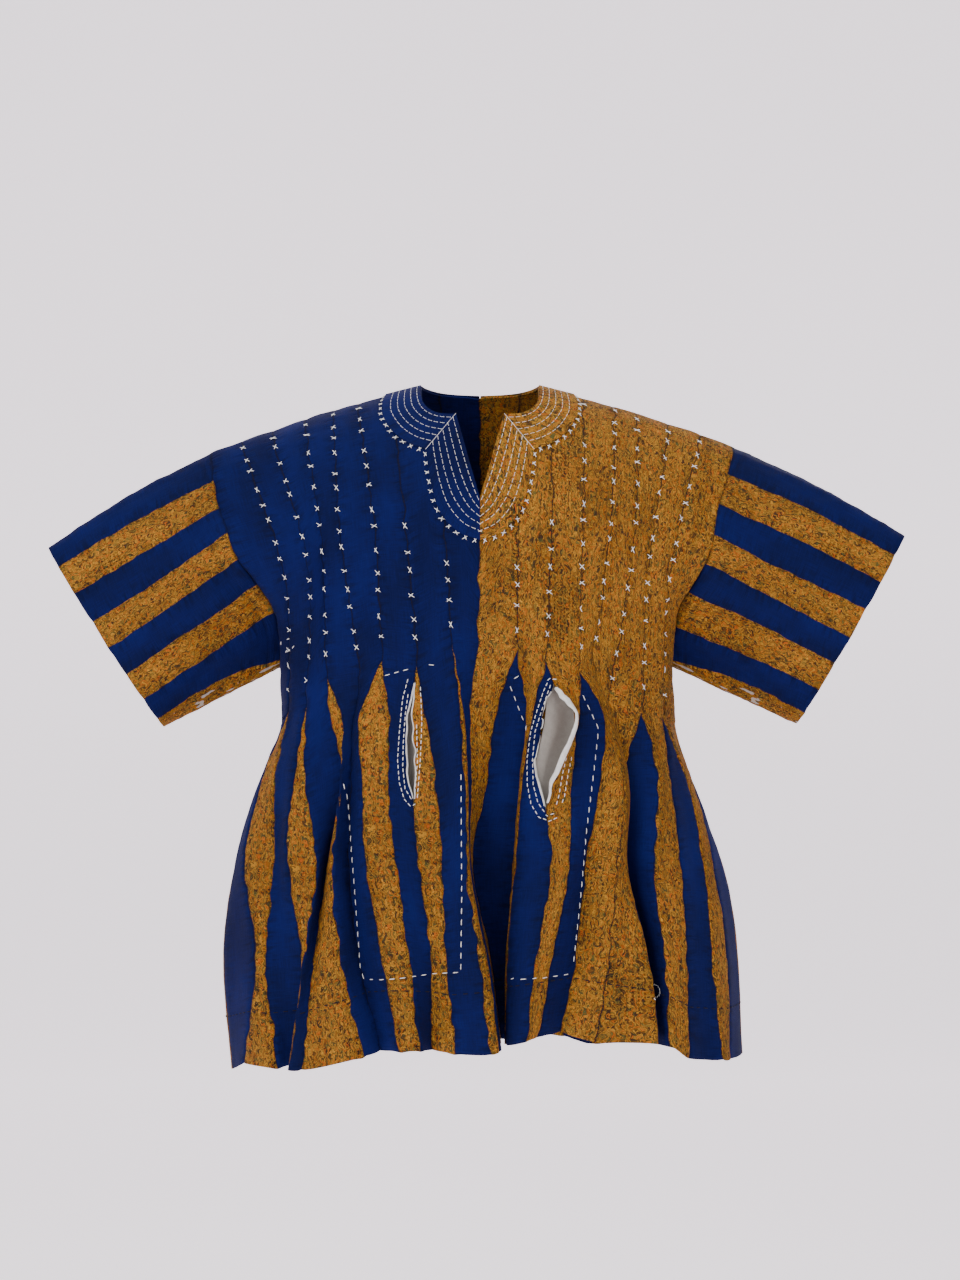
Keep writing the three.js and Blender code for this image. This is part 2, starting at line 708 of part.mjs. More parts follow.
function buildSmock() {
  const pieces = [];
  const centreFront = seamLine("front", 1, CENTRE_TIP, CENTRE_FRONT);
  const centreBack = seamLine("back", 1, CENTRE_BACK_TIP, CENTRE_BACK);
  const nets = {};
  ["left", "right"].forEach((half) => {
    const front = halfNet("front", half, FRONT_SEAMS[half], FRONT_EDGES[half], centreFront);
    const back = halfNet("back", half, backSeams(half), backEdges(half), centreBack);
    nets["front_" + half] = { pieces: front, flip: half === "right" };
    nets["back_" + half] = { pieces: back, flip: half === "left" };
  });

  Object.entries(nets).forEach(([panel, net]) => {
    const cloth = panel.endsWith("left") ? [BLUE, GOLD] : [GOLD, BLUE];
    const strips = net.pieces.filter((piece) => piece.firstRow === 0);
    const gores = net.pieces.filter((piece) => piece.firstRow > 0);
    const panelQuads = strips.flatMap((strip) => gridQuads(strip.columns, ROWS, net.flip));
    pieces.push({ name: panel, quads: panelQuads, cloth: cloth[0], thickness: CLOTH });
    gores.forEach((gore) => {
      const quads = gridQuads(gore.columns, ROWS.slice(gore.firstRow), net.flip);
      pieces.push({ name: gore.name, quads, cloth: cloth[1], thickness: CLOTH });
    });
  });

  ["left", "right"].forEach((half) => {
    const fore = sideLine("front", half);
    const aft = sideLine("back", half);
    const middle = (t) => fore(t).lerp(aft(t), 0.5);
    const quads = gridQuads([aft, middle, fore], ROWS.slice(TIP_ROW + 1), half === "right");
    const cloth = half === "left" ? GOLD : BLUE;
    pieces.push({ name: "gore_side_" + half, quads, cloth, thickness: CLOTH });
    const sleeve = half === "left" ? BLUE : GOLD;
    pieces.push({ name: "sleeve_" + half, quads: sleeveQuads(half), cloth: sleeve, thickness: CLOTH });
  });

  pieces.forEach((piece) => {
    piece.triangles = trianglesOf(piece.quads);
  });
  const normals = sharedNormals(pieces);

  const laidOn = [];
  ["left", "right"].forEach((half) => {
    const bandCloth = half === "left" ? BLUE : GOLD;
    laidOn.push({
      name: "collar_" + half,
      quads: bandQuads(half),
      cloth: bandCloth,
      thickness: BAND_CLOTH,
      lift: CLOTH / 2 + BAND_GAP + BAND_CLOTH / 2,
    });
    laidOn.push({
      name: "pocket_bag_" + half,
      quads: bagQuads(nets["front_" + half].pieces, half),
      cloth: WHITE,
      thickness: BAG_CLOTH,
      lift: 0,
    });
  });
  laidOn.forEach((piece) => {
    piece.triangles = trianglesOf(piece.quads);
  });
  const laidNormals = sharedNormals(laidOn);

  const smock = new THREE.Group();
  smock.name = "fugu_smock";
  const addMesh = (piece, own) => {
    const geometry = wallGeometry(piece.triangles, own, piece.thickness, piece.lift ?? 0);
    const mesh = new THREE.Mesh(geometry, material(piece.cloth));
    mesh.name = piece.name;
    smock.add(mesh);
  };
  pieces.forEach((piece) => addMesh(piece, normals));
  laidOn.forEach((piece) => addMesh(piece, laidNormals));
  return smock;
}

export default buildSmock();
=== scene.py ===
"""Fugu smock: strip-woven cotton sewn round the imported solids, with its weave, seams and stitches."""

import json
import math

import bpy
import numpy as np
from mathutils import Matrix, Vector, noise
from mathutils.bvhtree import BVHTree

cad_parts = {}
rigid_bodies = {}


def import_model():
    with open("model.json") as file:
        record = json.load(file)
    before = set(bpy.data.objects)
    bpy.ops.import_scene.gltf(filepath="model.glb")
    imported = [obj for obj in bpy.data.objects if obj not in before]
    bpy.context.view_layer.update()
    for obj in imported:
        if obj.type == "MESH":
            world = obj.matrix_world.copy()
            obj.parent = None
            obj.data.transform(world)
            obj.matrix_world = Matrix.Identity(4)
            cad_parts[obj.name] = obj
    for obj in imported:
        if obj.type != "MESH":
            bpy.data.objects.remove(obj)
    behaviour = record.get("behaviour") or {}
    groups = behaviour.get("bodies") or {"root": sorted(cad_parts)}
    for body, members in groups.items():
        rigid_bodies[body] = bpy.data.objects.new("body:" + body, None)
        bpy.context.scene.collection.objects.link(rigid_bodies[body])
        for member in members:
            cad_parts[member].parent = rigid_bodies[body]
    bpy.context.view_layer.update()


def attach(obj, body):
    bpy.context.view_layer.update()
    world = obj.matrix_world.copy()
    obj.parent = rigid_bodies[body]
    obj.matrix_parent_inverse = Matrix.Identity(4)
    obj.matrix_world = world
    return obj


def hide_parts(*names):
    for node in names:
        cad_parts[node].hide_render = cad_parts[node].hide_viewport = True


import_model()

bl_info = {
    "name": "Fugu smock",
    "version": (1, 0, 0),
    "blender": (4, 5, 0),
    "location": "View3D > Sidebar > Smock",
    "description": "Sews a strip-woven smock, half blue and half gold",
    "category": "Add Mesh",
}

# ---------------------------------------------------------------------------------------------
# Cut and fit, in millimetres: the same tables that shape the solids.
# ---------------------------------------------------------------------------------------------

MM = 0.001  # the scene is in metres
FACES = ("front", "back")
HALF_COLOURS = {"left": "blue", "right": "gold"}
SIGNS = {"left": -1, "right": 1}
STRIPS = 8  # woven strips in half a front or back
NECK_HALF = 64
NECK_BACK_Z = 8
NECK_CORNER = 25
NECK_CORNER_Z = -22
NECK_FOOT_Z = -112
SHOULDER_TOP = 14
SHOULDER_FALL = 0.31
SHOULDER_CROWN = 4
SHOULDER_END = 293
CHEST_DEPTH = 120
CHEST_DROP = 170
EDGE_LOSS = 55
OVAL_POWER = 2.2
UNDERARM = 0.8
STRIP = 41  # width of a woven strip


def table(columns, rows):
    """Rows of bare values as records with the columns' names."""
    names = columns.split()
    return [dict(zip(names, row)) for row in rows]


# Body sections: reach to each side and to the front and back, and where the side seams lie.
SECTIONS = table(
    "z left right front back leftFore leftAft rightFore rightAft",
    [
        (-265, 216, 216, 118, 118, 0, 0, 0, 0),
        (-350, 216, 213, 117, 118, 0, 0, 0, 0),
        (-410, 238, 230, 124, 126, 10, 26, -14, 4),
        (-500, 267, 263, 140, 142, -8, 28, -46, -6),
        (-600, 282, 280, 154, 156, -26, 24, -56, -8),
        (-731, 271, 288, 166, 168, -20, 38, -66, -6),
    ],
)
SIDE = {"left": (293, 282, 258, 222, 218, 216), "right": (275, 257, 243, 214, 210, 213)}
SIDE_TOP_Z = -58
SIDE_TIP_Z = -350
SIDE_HEM_Z = {"left": -729, "right": -712}

# Seams of the front yokes, outer to inner: reach at the shoulder, bust and gore tip.
FRONT_SEAMS = {
    "left": table(
        "seam top bust tip tipZ",
        [
            ("a", 260, 209, 207, -338),
            ("b", 227, 183, 187, -331),
            ("c", 190, 168, 164, -303),
            ("d", 159, 148, 127, -296),
            ("e", 132, 112, 104, -282),
            ("f", 95, 79, 66, -289),
            ("g", 45, 38, 29, -265),
        ],
    ),
    "right": table(
        "seam top bust tip tipZ",
        [
            ("a", 240, 203, 198, -345),
            ("b", 205, 180, 174, -339),
            ("c", 170, 162, 136, -327),
            ("d", 146, 138, 120, -284),
            ("e", 112, 109, 106, -298),
            ("f", 78, 76, 70, -285),
            ("g", 45, 40, 39, -272),
        ],
    ),
}

# Edges of the front strips below the tips: x at four heights and the hem, and the fold's rise.
HEIGHTS = {"near": -340, "high": -410, "middle": -500, "low": -600}
EDGE_COLUMNS = "edge near high middle low hem hemZ outMiddle outHem"
FRONT_EDGES = {
    "left": table(
        EDGE_COLUMNS,
        [
            ("a.outer", -214, -236.5, -254, -239, -253, -715, 0, 0),
            ("a.inner", -206, -221, -221, -228, -215, -716, -8, -4),
            ("b.outer", -188, -200, -205, -189, -194, -712, 3, -28),
            ("b.inner", -183, -187, -173, -187, -204, -717, 1, 1),
            ("c.outer", -160, -146, -163, -176, -186, -716, -24, 0),
            ("c.inner", -149, -150, -157, -145, -121, -697, 4, 7),
            ("d", -133, -137, -139, -127, -104, -693, -22, -16),
            ("e.outer", -129, -127, -120, -102, -85, -690, 6, 6),
            ("e.inner", -97, -97, -88, -73, -62, -690, 8, 5),
            ("f.outer", -73, -72, -64, -52, -51, -692, 5, -22),
            ("f.inner", -58, -46, -40, -35, -26, -694, 8, -3),
            ("g.outer", -21, -15, -12.5, 0.5, 11, -693, 16, 18),
            ("g.inner", -17, -12.5, -10, 9.6, 22, -690, 1, 8),
        ],
    ),
    "right": table(
        EDGE_COLUMNS,
        [
            ("a.outer", 204, 222, 240, 248, 260, -712, -3, 2),
            ("a.inner", 196, 204, 215, 221, 221, -706, 3, -2),
            ("b.outer", 178, 191, 184, 195, 201, -690, 8, 2),
            ("b.inner", 168, 152, 151, 172, 181, -690, -42, -38),
            ("c.outer", 143, 148, 146, 168, 176, -686, -38, -30),
            ("c.inner", 140, 159, 156, 180, 190, -686, -8, 6),
            ("d", 135, 154, 145, 134, 120, -681, 10, 14),
            ("e.outer", 133, 127, 111, 100, 85, -673, -10, -12),
            ("e.inner", 105, 96, 93, 74, 59, -675, 9, 3),
            ("f.outer", 84, 68, 75, 57, 48, -679, 8, 12),
            ("f.inner", 55, 44, 36, 28, 24, -686, -12, -16),
            ("g.outer", 51, 45, 37, 29.5, 34, -684, -44, -54),
            ("g.inner", 17, 7, -9.5, 9, 19, -686, -48, -56),
        ],
    ),
}
CENTRE_FRONT = table(EDGE_COLUMNS, [("centre", -12, -10.5, -8.5, 10, 21.5, -688, -18, -24)])[0]
CENTRE_TIP = {"top": 0, "bust": -1, "tip": -2, "tipZ": -262}
CENTRE_BACK = table(EDGE_COLUMNS, [("centre", 0, 0, 0, 0, 0, -716, -8, -12)])[0]
CENTRE_BACK_TIP = {"top": 0, "bust": 0, "tip": 0, "tipZ": -266}

# How far the middle of a piece bellies out between its edges, at the hem.
BELLIES = {
    "front left 7": -5,
    "front left 5": 4,
    "front right 4": 6,
    "front right 3": 6,
    "gore_front_left_a": 4,
    "gore_front_left_b": -5,
    "gore_front_left_c": 5,
    "gore_front_left_e": 3,
    "gore_front_right_a": -6,
    "gore_front_right_f": 14,
}

# Pocket slits in the seams f: how the two edges part and how far the outer lip stands out.
SLITS = {
    "left": {"topZ": -300, "bottomZ": -436, "widestZ": -398, "part": 9, "lip": 2},
    "right": {"topZ": -309, "bottomZ": -440, "widestZ": -345, "part": 38, "lip": 20},
}

BACK_REACH = {"left": (221, 213), "right": (206, 208)}
BACK_TIP_Z = {
    "left": (-342, -326, -316, -298, -290, -276, -272),
    "right": (-340, -334, -308, -306, -284, -282, -268),
}
BACK_FOLDS = table(
    "seam leftOuter leftInner rightOuter rightInner",
    [
        ("a", -9, 12, -7, 10),
        ("b", -14, 13, -16, 12),
        ("c", -11, 15, -13, 16),
        ("d", -15, -15, 9, 9),
        ("e", 12, -17, -12, 15),
        ("f", 14, -12, -15, 12),
        ("g", 13, -16, -12, 14),
    ],
)
BACK_HEM_Z = -716
BACK_HEM_WAVE = 7
BACK_WIDENS = {"near": 0.14, "high": 0.35, "middle": 0.62, "low": 0.82, "hem": 1}

# Cuffs: x and z of the top and the bottom, and half the depth from front to back.
CUFFS = {
    "left": {"top": (-471, -160), "bottom": (-345, -356), "depth": 48},
    "right": {"top": (463, -147), "bottom": (345, -353), "depth": 48},
}
SLEEVE_CROWN = 6
SLEEVE_SAG = 9
SLEEVE_RINGS = 58  # rings of the net, from armhole to cuff
SLEEVE_GATHER = 0.5  # a sleeve drapes as the yoke does halfway down
# How far down the armhole each eighteenth of a turn lies.
SLEEVE_RING = (0, 0.01, 0.04, 0.09, 0.17, 0.28, 0.41, 0.54, 0.67, 0.8)
# Where one strip of a sleeve ends and the next begins, as shares of its height seen from ahead.
SLEEVE_STRIPS = {
    "left": {
        "armhole": (0, 0.136, 0.266, 0.383, 0.5, 0.62, 0.743, 0.97, 1),
        "cuff": (0, 0.114, 0.265, 0.42, 0.56, 0.71, 0.849, 0.955, 1),
    },
    "right": {
        "armhole": (0, 0.134, 0.274, 0.408, 0.532, 0.662, 0.811, 0.97, 1),
        "cuff": (0, 0.113, 0.254, 0.394, 0.544, 0.678, 0.816, 0.94, 1),
    },
}

# The neck band from the middle of the back to the foot of the V.
BAND_BACK = table(
    "innerX outerX outerZ",
    [(0, 0, -26), (22, 36, -25), (43, 68, -20), (56, 89, -11), (61, 97, 0), (63.4, 100.5, 3)],
)
BAND_SHOULDER = {"innerX": 64, "outerX": 101, "outerZ": 4.5}
BAND_FRONT = table(
    "innerX outerX outerZ",
    [
        (63.98, 101.3, 3.9),
        (63.9, 102, 2.5),
        (63.3, 103.5, -2),
        (62, 105, -9),
        (59, 104, -22),
        (50, 93, -40),
        (40, 76, -53),
        (25.6, 57, -60),
        (20.5, 54, -84),
        (14.5, 49, -108),
        (8.5, 40, -130),
        (3.5, 22, -148),
        (0, 0, -156),
    ],
)
MITRE_ROW = 7
BAND_STEPS = (8, 7, 9)  # net rows for each row above: behind, to the mitre, down the V
BAND_WIDTH = 37
BAND_LIFT = 2.55  # how far the middle of the band lies outside the middle of the panel
BAND_FOOT_GAP = 0.15
BAG_SEAT = 2.4
BAG_HANG = 15
BAG_CLEAR = 1.5  # keeps the bag behind the softened gores
BAG_CLOTH = (110, 320)  # how wide and how long a stretch of cotton a bag shows

# How finely the cloth is netted.
YOKE_ROWS = [UNDERARM * (i / 72) ** 1.6 for i in range(73)]
YOKE_ROWS += [UNDERARM + i / 60 for i in range(1, 13)]
SKIRT_ROWS = [1 + i / 92 for i in range(1, 93)]
ROWS = np.array(YOKE_ROWS + SKIRT_ROWS)
UNDERARM_ROW = 72
TIP_ROW = len(YOKE_ROWS) - 1
STRIP_SHARES = (0, 0.03, 0.08, 0.17, 0.32, 0.5, 0.68, 0.83, 0.92, 0.97, 1)
GORE_SHARES = (0, 0.05, 0.17, 0.33, 0.5, 0.67, 0.83, 0.95, 1)
HALVES = ("left", "right")
BAG_ROWS = (1.012, 1.855)  # a pocket bag's top and bottom, on the scale of ROWS
HEM_STITCH_ROW = 1.845

# How little of its flat size a gore may fill; the flat sizes are worked out in metres.
LEAST_FILL = 0.32  # a gore fills at least this share of its flat size

# Where each cut lies on the woven cloth, so that no two strips show the same stretch of it.
STRIP_OFFSET = 100
BAND_OFFSET = 700
GORE_OFFSET = 900

# Stitches: how far apart and how long, in millimetres.
STITCHES = {
    "band": (7.2, 4.8),
    "mitre": (2.4, 3.4),
    "band cross": (10.5, 6.6),
    "yoke cross": (21, 7.6),
    "loop": (1, 3.2),
    "hem": (10, 6.0),
}
CROSSES_CLEAR = 112  # the crosses on the yokes stay this far from the middle of the neck

# The look of the cloth: sizes in metres, and flecks to a metre across and along.
FLECKS = (1080.0, 360.0, 1.0)
CHAIN_PITCH = (0.0046, 0.0041)
DASH_PITCH = 0.0046
DASH_HALF_WIDTH = 0.0003
SEAM_WOBBLE = 3.0  # a hand-sewn seam wanders by about half of this
EVEN_STEP = 1.5  # spacing of the even points along which folds are rounded
JOIN_GAP = 0.005  # points nearer than this are sewn into one

# Soft creases seen from ahead or behind: ends, half width and depth (minus is a ridge).
CREASES = table(
    "face x0 z0 x1 z1 width depth",
    [
        ("front", -262, -84, -232, -250, 11, 3.2),
        ("front", -236, -60, -214, -190, 12, 2.2),
        ("front", -292, -96, -246, -150, 9, 2.6),
        ("front", -300, -150, -236, -236, 10, 3.4),
        ("front", -322, -262, -236, -238, 12, 3.6),
        ("front", -380, -292, -262, -246, 11, 2.8),
        ("front", -430, -250, -300, -188, 14, 2.2),
        ("front", -412, -180, -322, -128, 12, -2.0),
        ("front", -196, -250, -168, -300, 9, 2.4),
        ("front", -120, -190, -104, -276, 8, 1.8),
        ("front", -52, -178, -62, -286, 9, 2.0),
        ("front", 18, -178, 34, -262, 8, 1.8),
        ("front", 88, -206, 78, -280, 8, 1.9),
        ("front", 140, -214, 128, -282, 9, 2.2),
        ("front", 176, -96, 188, -240, 12, 2.6),
        ("front", 226, -70, 206, -236, 11, 3.0),
        ("front", 262, -92, 236, -140, 9, 2.8),
        ("front", 250, -120, 214, -214, 9, 2.6),
        ("front", 330, -252, 224, -226, 12, 3.6),
        ("front", 384, -284, 250, -240, 11, 2.6),
        ("front", 420, -236, 292, -172, 14, 2.2),
        ("front", 404, -164, 314, -116, 12, -2.0),
        ("back", -258, -80, -226, -246, 12, 3.2),
        ("back", -306, -120, -240, -214, 11, 3.0),
        ("back", -330, -262, -232, -236, 12, 3.4),
        ("back", -420, -240, -300, -178, 14, 2.2),
        ("back", -150, -150, -120, -270, 12, 2.2),
        ("back", -60, -120, -40, -262, 13, 2.0),
        ("back", 34, -110, 52, -262, 13, 2.0),
        ("back", 140, -140, 118, -272, 12, 2.2),
        ("back", 236, -70, 210, -232, 12, 3.0),
        ("back", 284, -116, 224, -204, 11, 3.0),
        ("back", 330, -250, 226, -226, 12, 3.4),
        ("back", 412, -230, 292, -166, 14, 2.2),
    ],
)


# ---------------------------------------------------------------------------------------------
# The middle surface of the cloth. Heights, reaches and shares may be single numbers or arrays.
# ---------------------------------------------------------------------------------------------


def mix(a, b, share):
    return a + (b - a) * share


def smooth_step(value, low, high):
    share = np.clip((np.asarray(value, float) - low) / (high - low), 0, 1)
    return share * share * (3 - 2 * share)


def near(distance, width):
    """1 at no distance, fading to nothing over about twice the width."""
    return np.exp(-((distance / width) ** 2))


def interpolate(stops, along, line):
    """Points at given lengths along a line of points."""
    return np.stack([np.interp(stops, along, column) for column in line.T], axis=1)


def curve_at(pairs, z):
    """A smooth curve through (height, value) pairs that run downwards."""
    heights = np.array([pair[0] for pair in pairs], float)
    values = np.array([pair[1] for pair in pairs], float)
    last = len(pairs) - 1
    z = np.asarray(z, float)
    i = (z[..., None] < heights[1:last]).sum(axis=-1)
    before = np.maximum(i - 1, 0)
    after = np.minimum(i + 2, last)
    step = heights[i + 1] - heights[i]
    s = np.clip((z - heights[i]) / step, 0, 1)
    enter = (values[i + 1] - values[before]) / (heights[i + 1] - heights[before]) * step
    leave = (values[after] - values[i]) / (heights[after] - heights[i]) * step
    rest = 1 - s
    start = values[i] * (1 + 2 * s) * rest * rest + enter * s * rest * rest
    return start + values[i + 1] * s * s * (3 - 2 * s) - leave * s * s * rest


def section(column, z):
    pairs = [(row["z"], row[column]) for row in SECTIONS]
    return curve_at(pairs, np.minimum(z, SECTIONS[0]["z"]))


def ridge_height(x):
    out = np.abs(x) - NECK_HALF
    bow = np.sin(math.pi * np.clip(out, 0, 230) / 230)
    return SHOULDER_TOP - SHOULDER_FALL * out + SHOULDER_CROWN * bow


def top_height(face, x):
    """Height of the neck hole's edge, or of the shoulder line beyond it."""
    reach = np.abs(np.asarray(x, float))
    if face == "back":
        hole = mix(NECK_BACK_Z, SHOULDER_TOP, (reach / NECK_HALF) ** 4)
    else:
        turn = np.clip((reach - NECK_CORNER) / (NECK_HALF - NECK_CORNER), 0, 1) ** 3
        round_edge = mix(SHOULDER_TOP, NECK_CORNER_Z, (1 - turn) ** 0.35)
        straight = mix(NECK_FOOT_Z, NECK_CORNER_Z, reach / NECK_CORNER)
        hole = np.where(reach <= NECK_CORNER, straight, round_edge)
    return np.where(reach >= NECK_HALF, ridge_height(x), hole)


def shoulder_rise(drop):
    left = 1 - np.clip(drop / CHEST_DROP, 0, 1)
    return np.sqrt(1 - left * left)


def oval_rise(u):
    return np.maximum(0, 1 - np.minimum(1, np.abs(u)) ** OVAL_POWER) ** (1 / OVAL_POWER)


def side_reach(half, t):
    reaches = SIDE[half]
    return curve_at([(-i, reach) for i, reach in enumerate(reaches)], -t * (len(reaches) - 1))


def outward(face):
    return -1 if face == "front" else 1


def yoke_depth(face, x, z, t):
    edge = np.where(x < 0, side_reach("left", t), side_reach("right", t))
    chest = CHEST_DEPTH - EDGE_LOSS * np.abs(x / SHOULDER_END) ** 3
    upper = chest * shoulder_rise(ridge_height(x) - z)
    lower = section(face, z) * oval_rise(x / edge)
    return outward(face) * mix(upper, lower, smooth_step(t, 0.3, 0.8))


def skirt_depth(face, x, z):
    reach = np.where(x < 0, section("left", z), section("right", z))
    return outward(face) * section(face, z) * oval_rise(x / reach)


def points(x, y, z):
    return np.stack(np.broadcast_arrays(x, y, z), axis=-1).astype(float)


def seam_line(face, sign, seam, edge, t):
    """A line down the garment: t is 0 at the top, 1 at the gore tip and 2 at the hem."""
    tip_z = seam["tipZ"]
    reaches = [(0, seam["top"]), (-0.5, seam["bust"]), (-1, seam["tip"])]
    x = sign * curve_at(reaches, -t)
    z = mix(float(top_height(face, seam["top"])), tip_z, t)
    yoke = points(x, yoke_depth(face, x, z, t), z)
    levels = [(z, edge[name]) for name, z in HEIGHTS.items() if z < tip_z - 14]
    z = mix(tip_z, edge["hemZ"], t - 1)
    x = curve_at([(tip_z, sign * seam["tip"]), *levels, (edge["hemZ"], edge["hem"])], z)
    rise = [(tip_z, 0), (HEIGHTS["middle"], edge["outMiddle"]), (edge["hemZ"], edge["outHem"])]
    skirt = points(x, skirt_depth(face, x, z) + outward(face) * curve_at(rise, z), z)
    return np.where((t <= 1)[:, None], yoke, skirt)


def side_line(face, half, t):
    """The side seam: down the armhole, then along one edge of the side gore."""
    sign = SIGNS[half]
    x = sign * side_reach(half, t)
    z = mix(SIDE_TOP_Z, SIDE_TIP_Z, t)
    y = np.where((t >= UNDERARM) | (t == 0), 0, yoke_depth(face, x, z, t))
    yoke = points(x, y, np.where(t == 0, ridge_height(x), z))
    z = mix(SIDE_TIP_Z, SIDE_HEM_Z[half], t - 1)
    y = section(half + ("Fore" if face == "front" else "Aft"), z)
    depth = np.where(y < 0, section("front", z), section("back", z))
    skirt = points(sign * section(half, z) * oval_rise(y / depth), y, z)
    return np.where((t <= 1)[:, None], yoke, skirt)


def between(face, sign, outer, inner, share, top_x, belly, t):
    """A line between two others. It keeps to the yoke's surface, and to a belly on the skirt."""
    line = mix(outer, inner, share)
    flat = np.linalg.norm(outer - inner, axis=1)
    swell = np.minimum(1, flat / 20) * (t - 1) * 4 * share * (1 - share)
    skirt = line + points(0, belly * swell * outward(face), 0)
    fade = 1 - t
    x = line[:, 0] + (sign * top_x - mix(outer[0, 0], inner[0, 0], share)) * fade
    top_z = float(top_height(face, top_x))
    z = line[:, 2] + (top_z - mix(outer[0, 2], inner[0, 2], share)) * fade
    y = yoke_depth(face, x, z, t)
    if top_x >= NECK_HALF:
        y[t == 0] = 0
    return np.where((t <= 1)[:, None], points(x, y, z), skirt)


def seam_angle(half, z):
    y = section(half + "Aft", z)
    angle = np.arcsin(oval_rise(y / section("back", z)))
    return np.where(y < 0, math.pi - angle, angle)


def back_edges(half):
    """Edges of the back strips, spaced by their share of the cloth and folded in pleats."""
    sign = SIGNS[half]
    edges = {}
    for i, folds in enumerate(BACK_FOLDS):
        for inward, name in enumerate(("Outer", "Inner")):
            edge = {}
            for level, widened in BACK_WIDENS.items():
                z = BACK_HEM_Z if level == "hem" else HEIGHTS[level]
                gores = 6 - i + (1 if i > 3 else 0) - (0 if folds["seam"] == "d" else inward)
                gore = widened * 1.05
                arc = (STRIPS - 1 - i + max(0, gores) * gore) / (STRIPS + 6 * gore)
                edge[level] = sign * float(section(half, z) * np.sin(arc * seam_angle(half, z)))
            edge["outMiddle"] = folds[half + name] * 0.75
            edge["outHem"] = folds[half + name]
            edge["hemZ"] = BACK_HEM_Z + BACK_HEM_WAVE * math.sin(i * 2.3 + inward)
            plain = folds["seam"] == "d"
            edges[folds["seam"] if plain else f"{folds['seam']}.{name.lower()}"] = edge
    return edges


def back_seams(half):
    seams = []
    for i, front in enumerate(FRONT_SEAMS[half]):
        share = math.sin((STRIPS - 1 - i) / STRIPS * math.pi / 2)
        bust, tip = BACK_REACH[half]
        seams.append(dict(front, bust=bust * share, tip=tip * share, tipZ=BACK_TIP_Z[half][i]))
    return seams


def length_down(line):
    steps = np.linalg.norm(np.diff(line, axis=0), axis=1)
    return np.concatenate([[0], np.cumsum(steps)])


def top_shares(strip, outer_top, inner_top):
    """Shares across a strip, with a column wherever the neck hole's edge turns."""
    shares = set(STRIP_SHARES)
    if strip == 2:
        turns = [NECK_HALF, 63.6, 63, 62, 60, 57, 52]
    elif strip == 1:
        turns = [40, 35, 30, 27, NECK_CORNER, 22]
    else:
        turns = []
    turns = {(outer_top - turn) / (outer_top - inner_top) for turn in turns}
    ordered = sorted(shares | turns)
    kept = [ordered[0]]
    for share in ordered[1:]:
        if share - kept[-1] > 0.012 or share in turns or share == 1:
            kept.append(share)
    return kept


def piece_grid(name, columns, shares, first=0, strip=None, dark=(False, False)):
    """A piece's net of points, its first row, and which edges show dark thread all the way."""
    return {
        "name": name,
        "points": np.stack(columns, axis=1),
        "shares": np.array(shares),
        "first": first,
        "strip": strip,
        "dark": dark,
    }


def half_net(face, half):
    """Strips and gores of half the front or back, side seam to middle, as grids of points."""
    t = ROWS
    sign = SIGNS[half]
    if face == "front":
        seams = FRONT_SEAMS[half]
        edges = {row["edge"]: row for row in FRONT_EDGES[half]}
        centre = seam_line(face, 1, CENTRE_TIP, CENTRE_FRONT, t)
    else:
        seams = back_seams(half)
        edges = back_edges(half)
        centre = seam_line(face, 1, CENTRE_BACK_TIP, CENTRE_BACK, t)
    lines = []
    for seam in seams:
        letter = seam["seam"]
        split = letter not in edges
        pair = [letter + suffix for suffix in ((".outer", ".inner") if split else ("", ""))]
        outer, inner = (seam_line(face, sign, seam, edges[edge], t) for edge in pair)
        lines.append({"seam": letter, "top": seam["top"], "outer": outer, "inner": inner, "split": split})
    side = side_line(face, half, t)
    grids = []
    for strip in range(STRIPS, 0, -1):
        left = lines[STRIPS - 1 - strip] if strip < STRIPS else None
        right = lines[STRIPS - strip] if strip > 1 else None
        outer = left["inner"] if left else side
        inner = right["outer"] if right else centre
        outer_top = left["top"] if left else abs(side[0, 0])
        inner_top = right["top"] if right else 0
        shares = top_shares(strip, outer_top, inner_top)
        belly = BELLIES.get(f"{face} {half} {strip}", 0)
        columns = [
            between(face, sign, outer, inner, share, mix(outer_top, inner_top, share), belly, t)
            for share in shares[1:-1]
        ]
        dark = (bool(left) and not left["split"], bool(right) and not right["split"])
        grids.append(piece_grid(f"{face}_{half}", [outer, *columns, inner], shares, 0, strip, dark))
        if right and right["split"]:
            gore = f"gore_{face}_{half}_{right['seam']}"
            outer, inner = right["outer"][TIP_ROW:], right["inner"][TIP_ROW:]
            below = np.maximum(t[TIP_ROW:], 1 + 1e-9)
            columns = [
                between(face, sign, outer, inner, share, 0, BELLIES.get(gore, 0), below)
                for share in GORE_SHARES
            ]
            grids.append(piece_grid(gore, columns, GORE_SHARES, TIP_ROW))
    return grids


def side_gore(half):
    fore, aft = (side_line(face, half, ROWS[TIP_ROW:]) for face in FACES)
    columns = [mix(fore, aft, share) for share in GORE_SHARES]
    return piece_grid(f"gore_side_{half}", columns, GORE_SHARES, TIP_ROW)


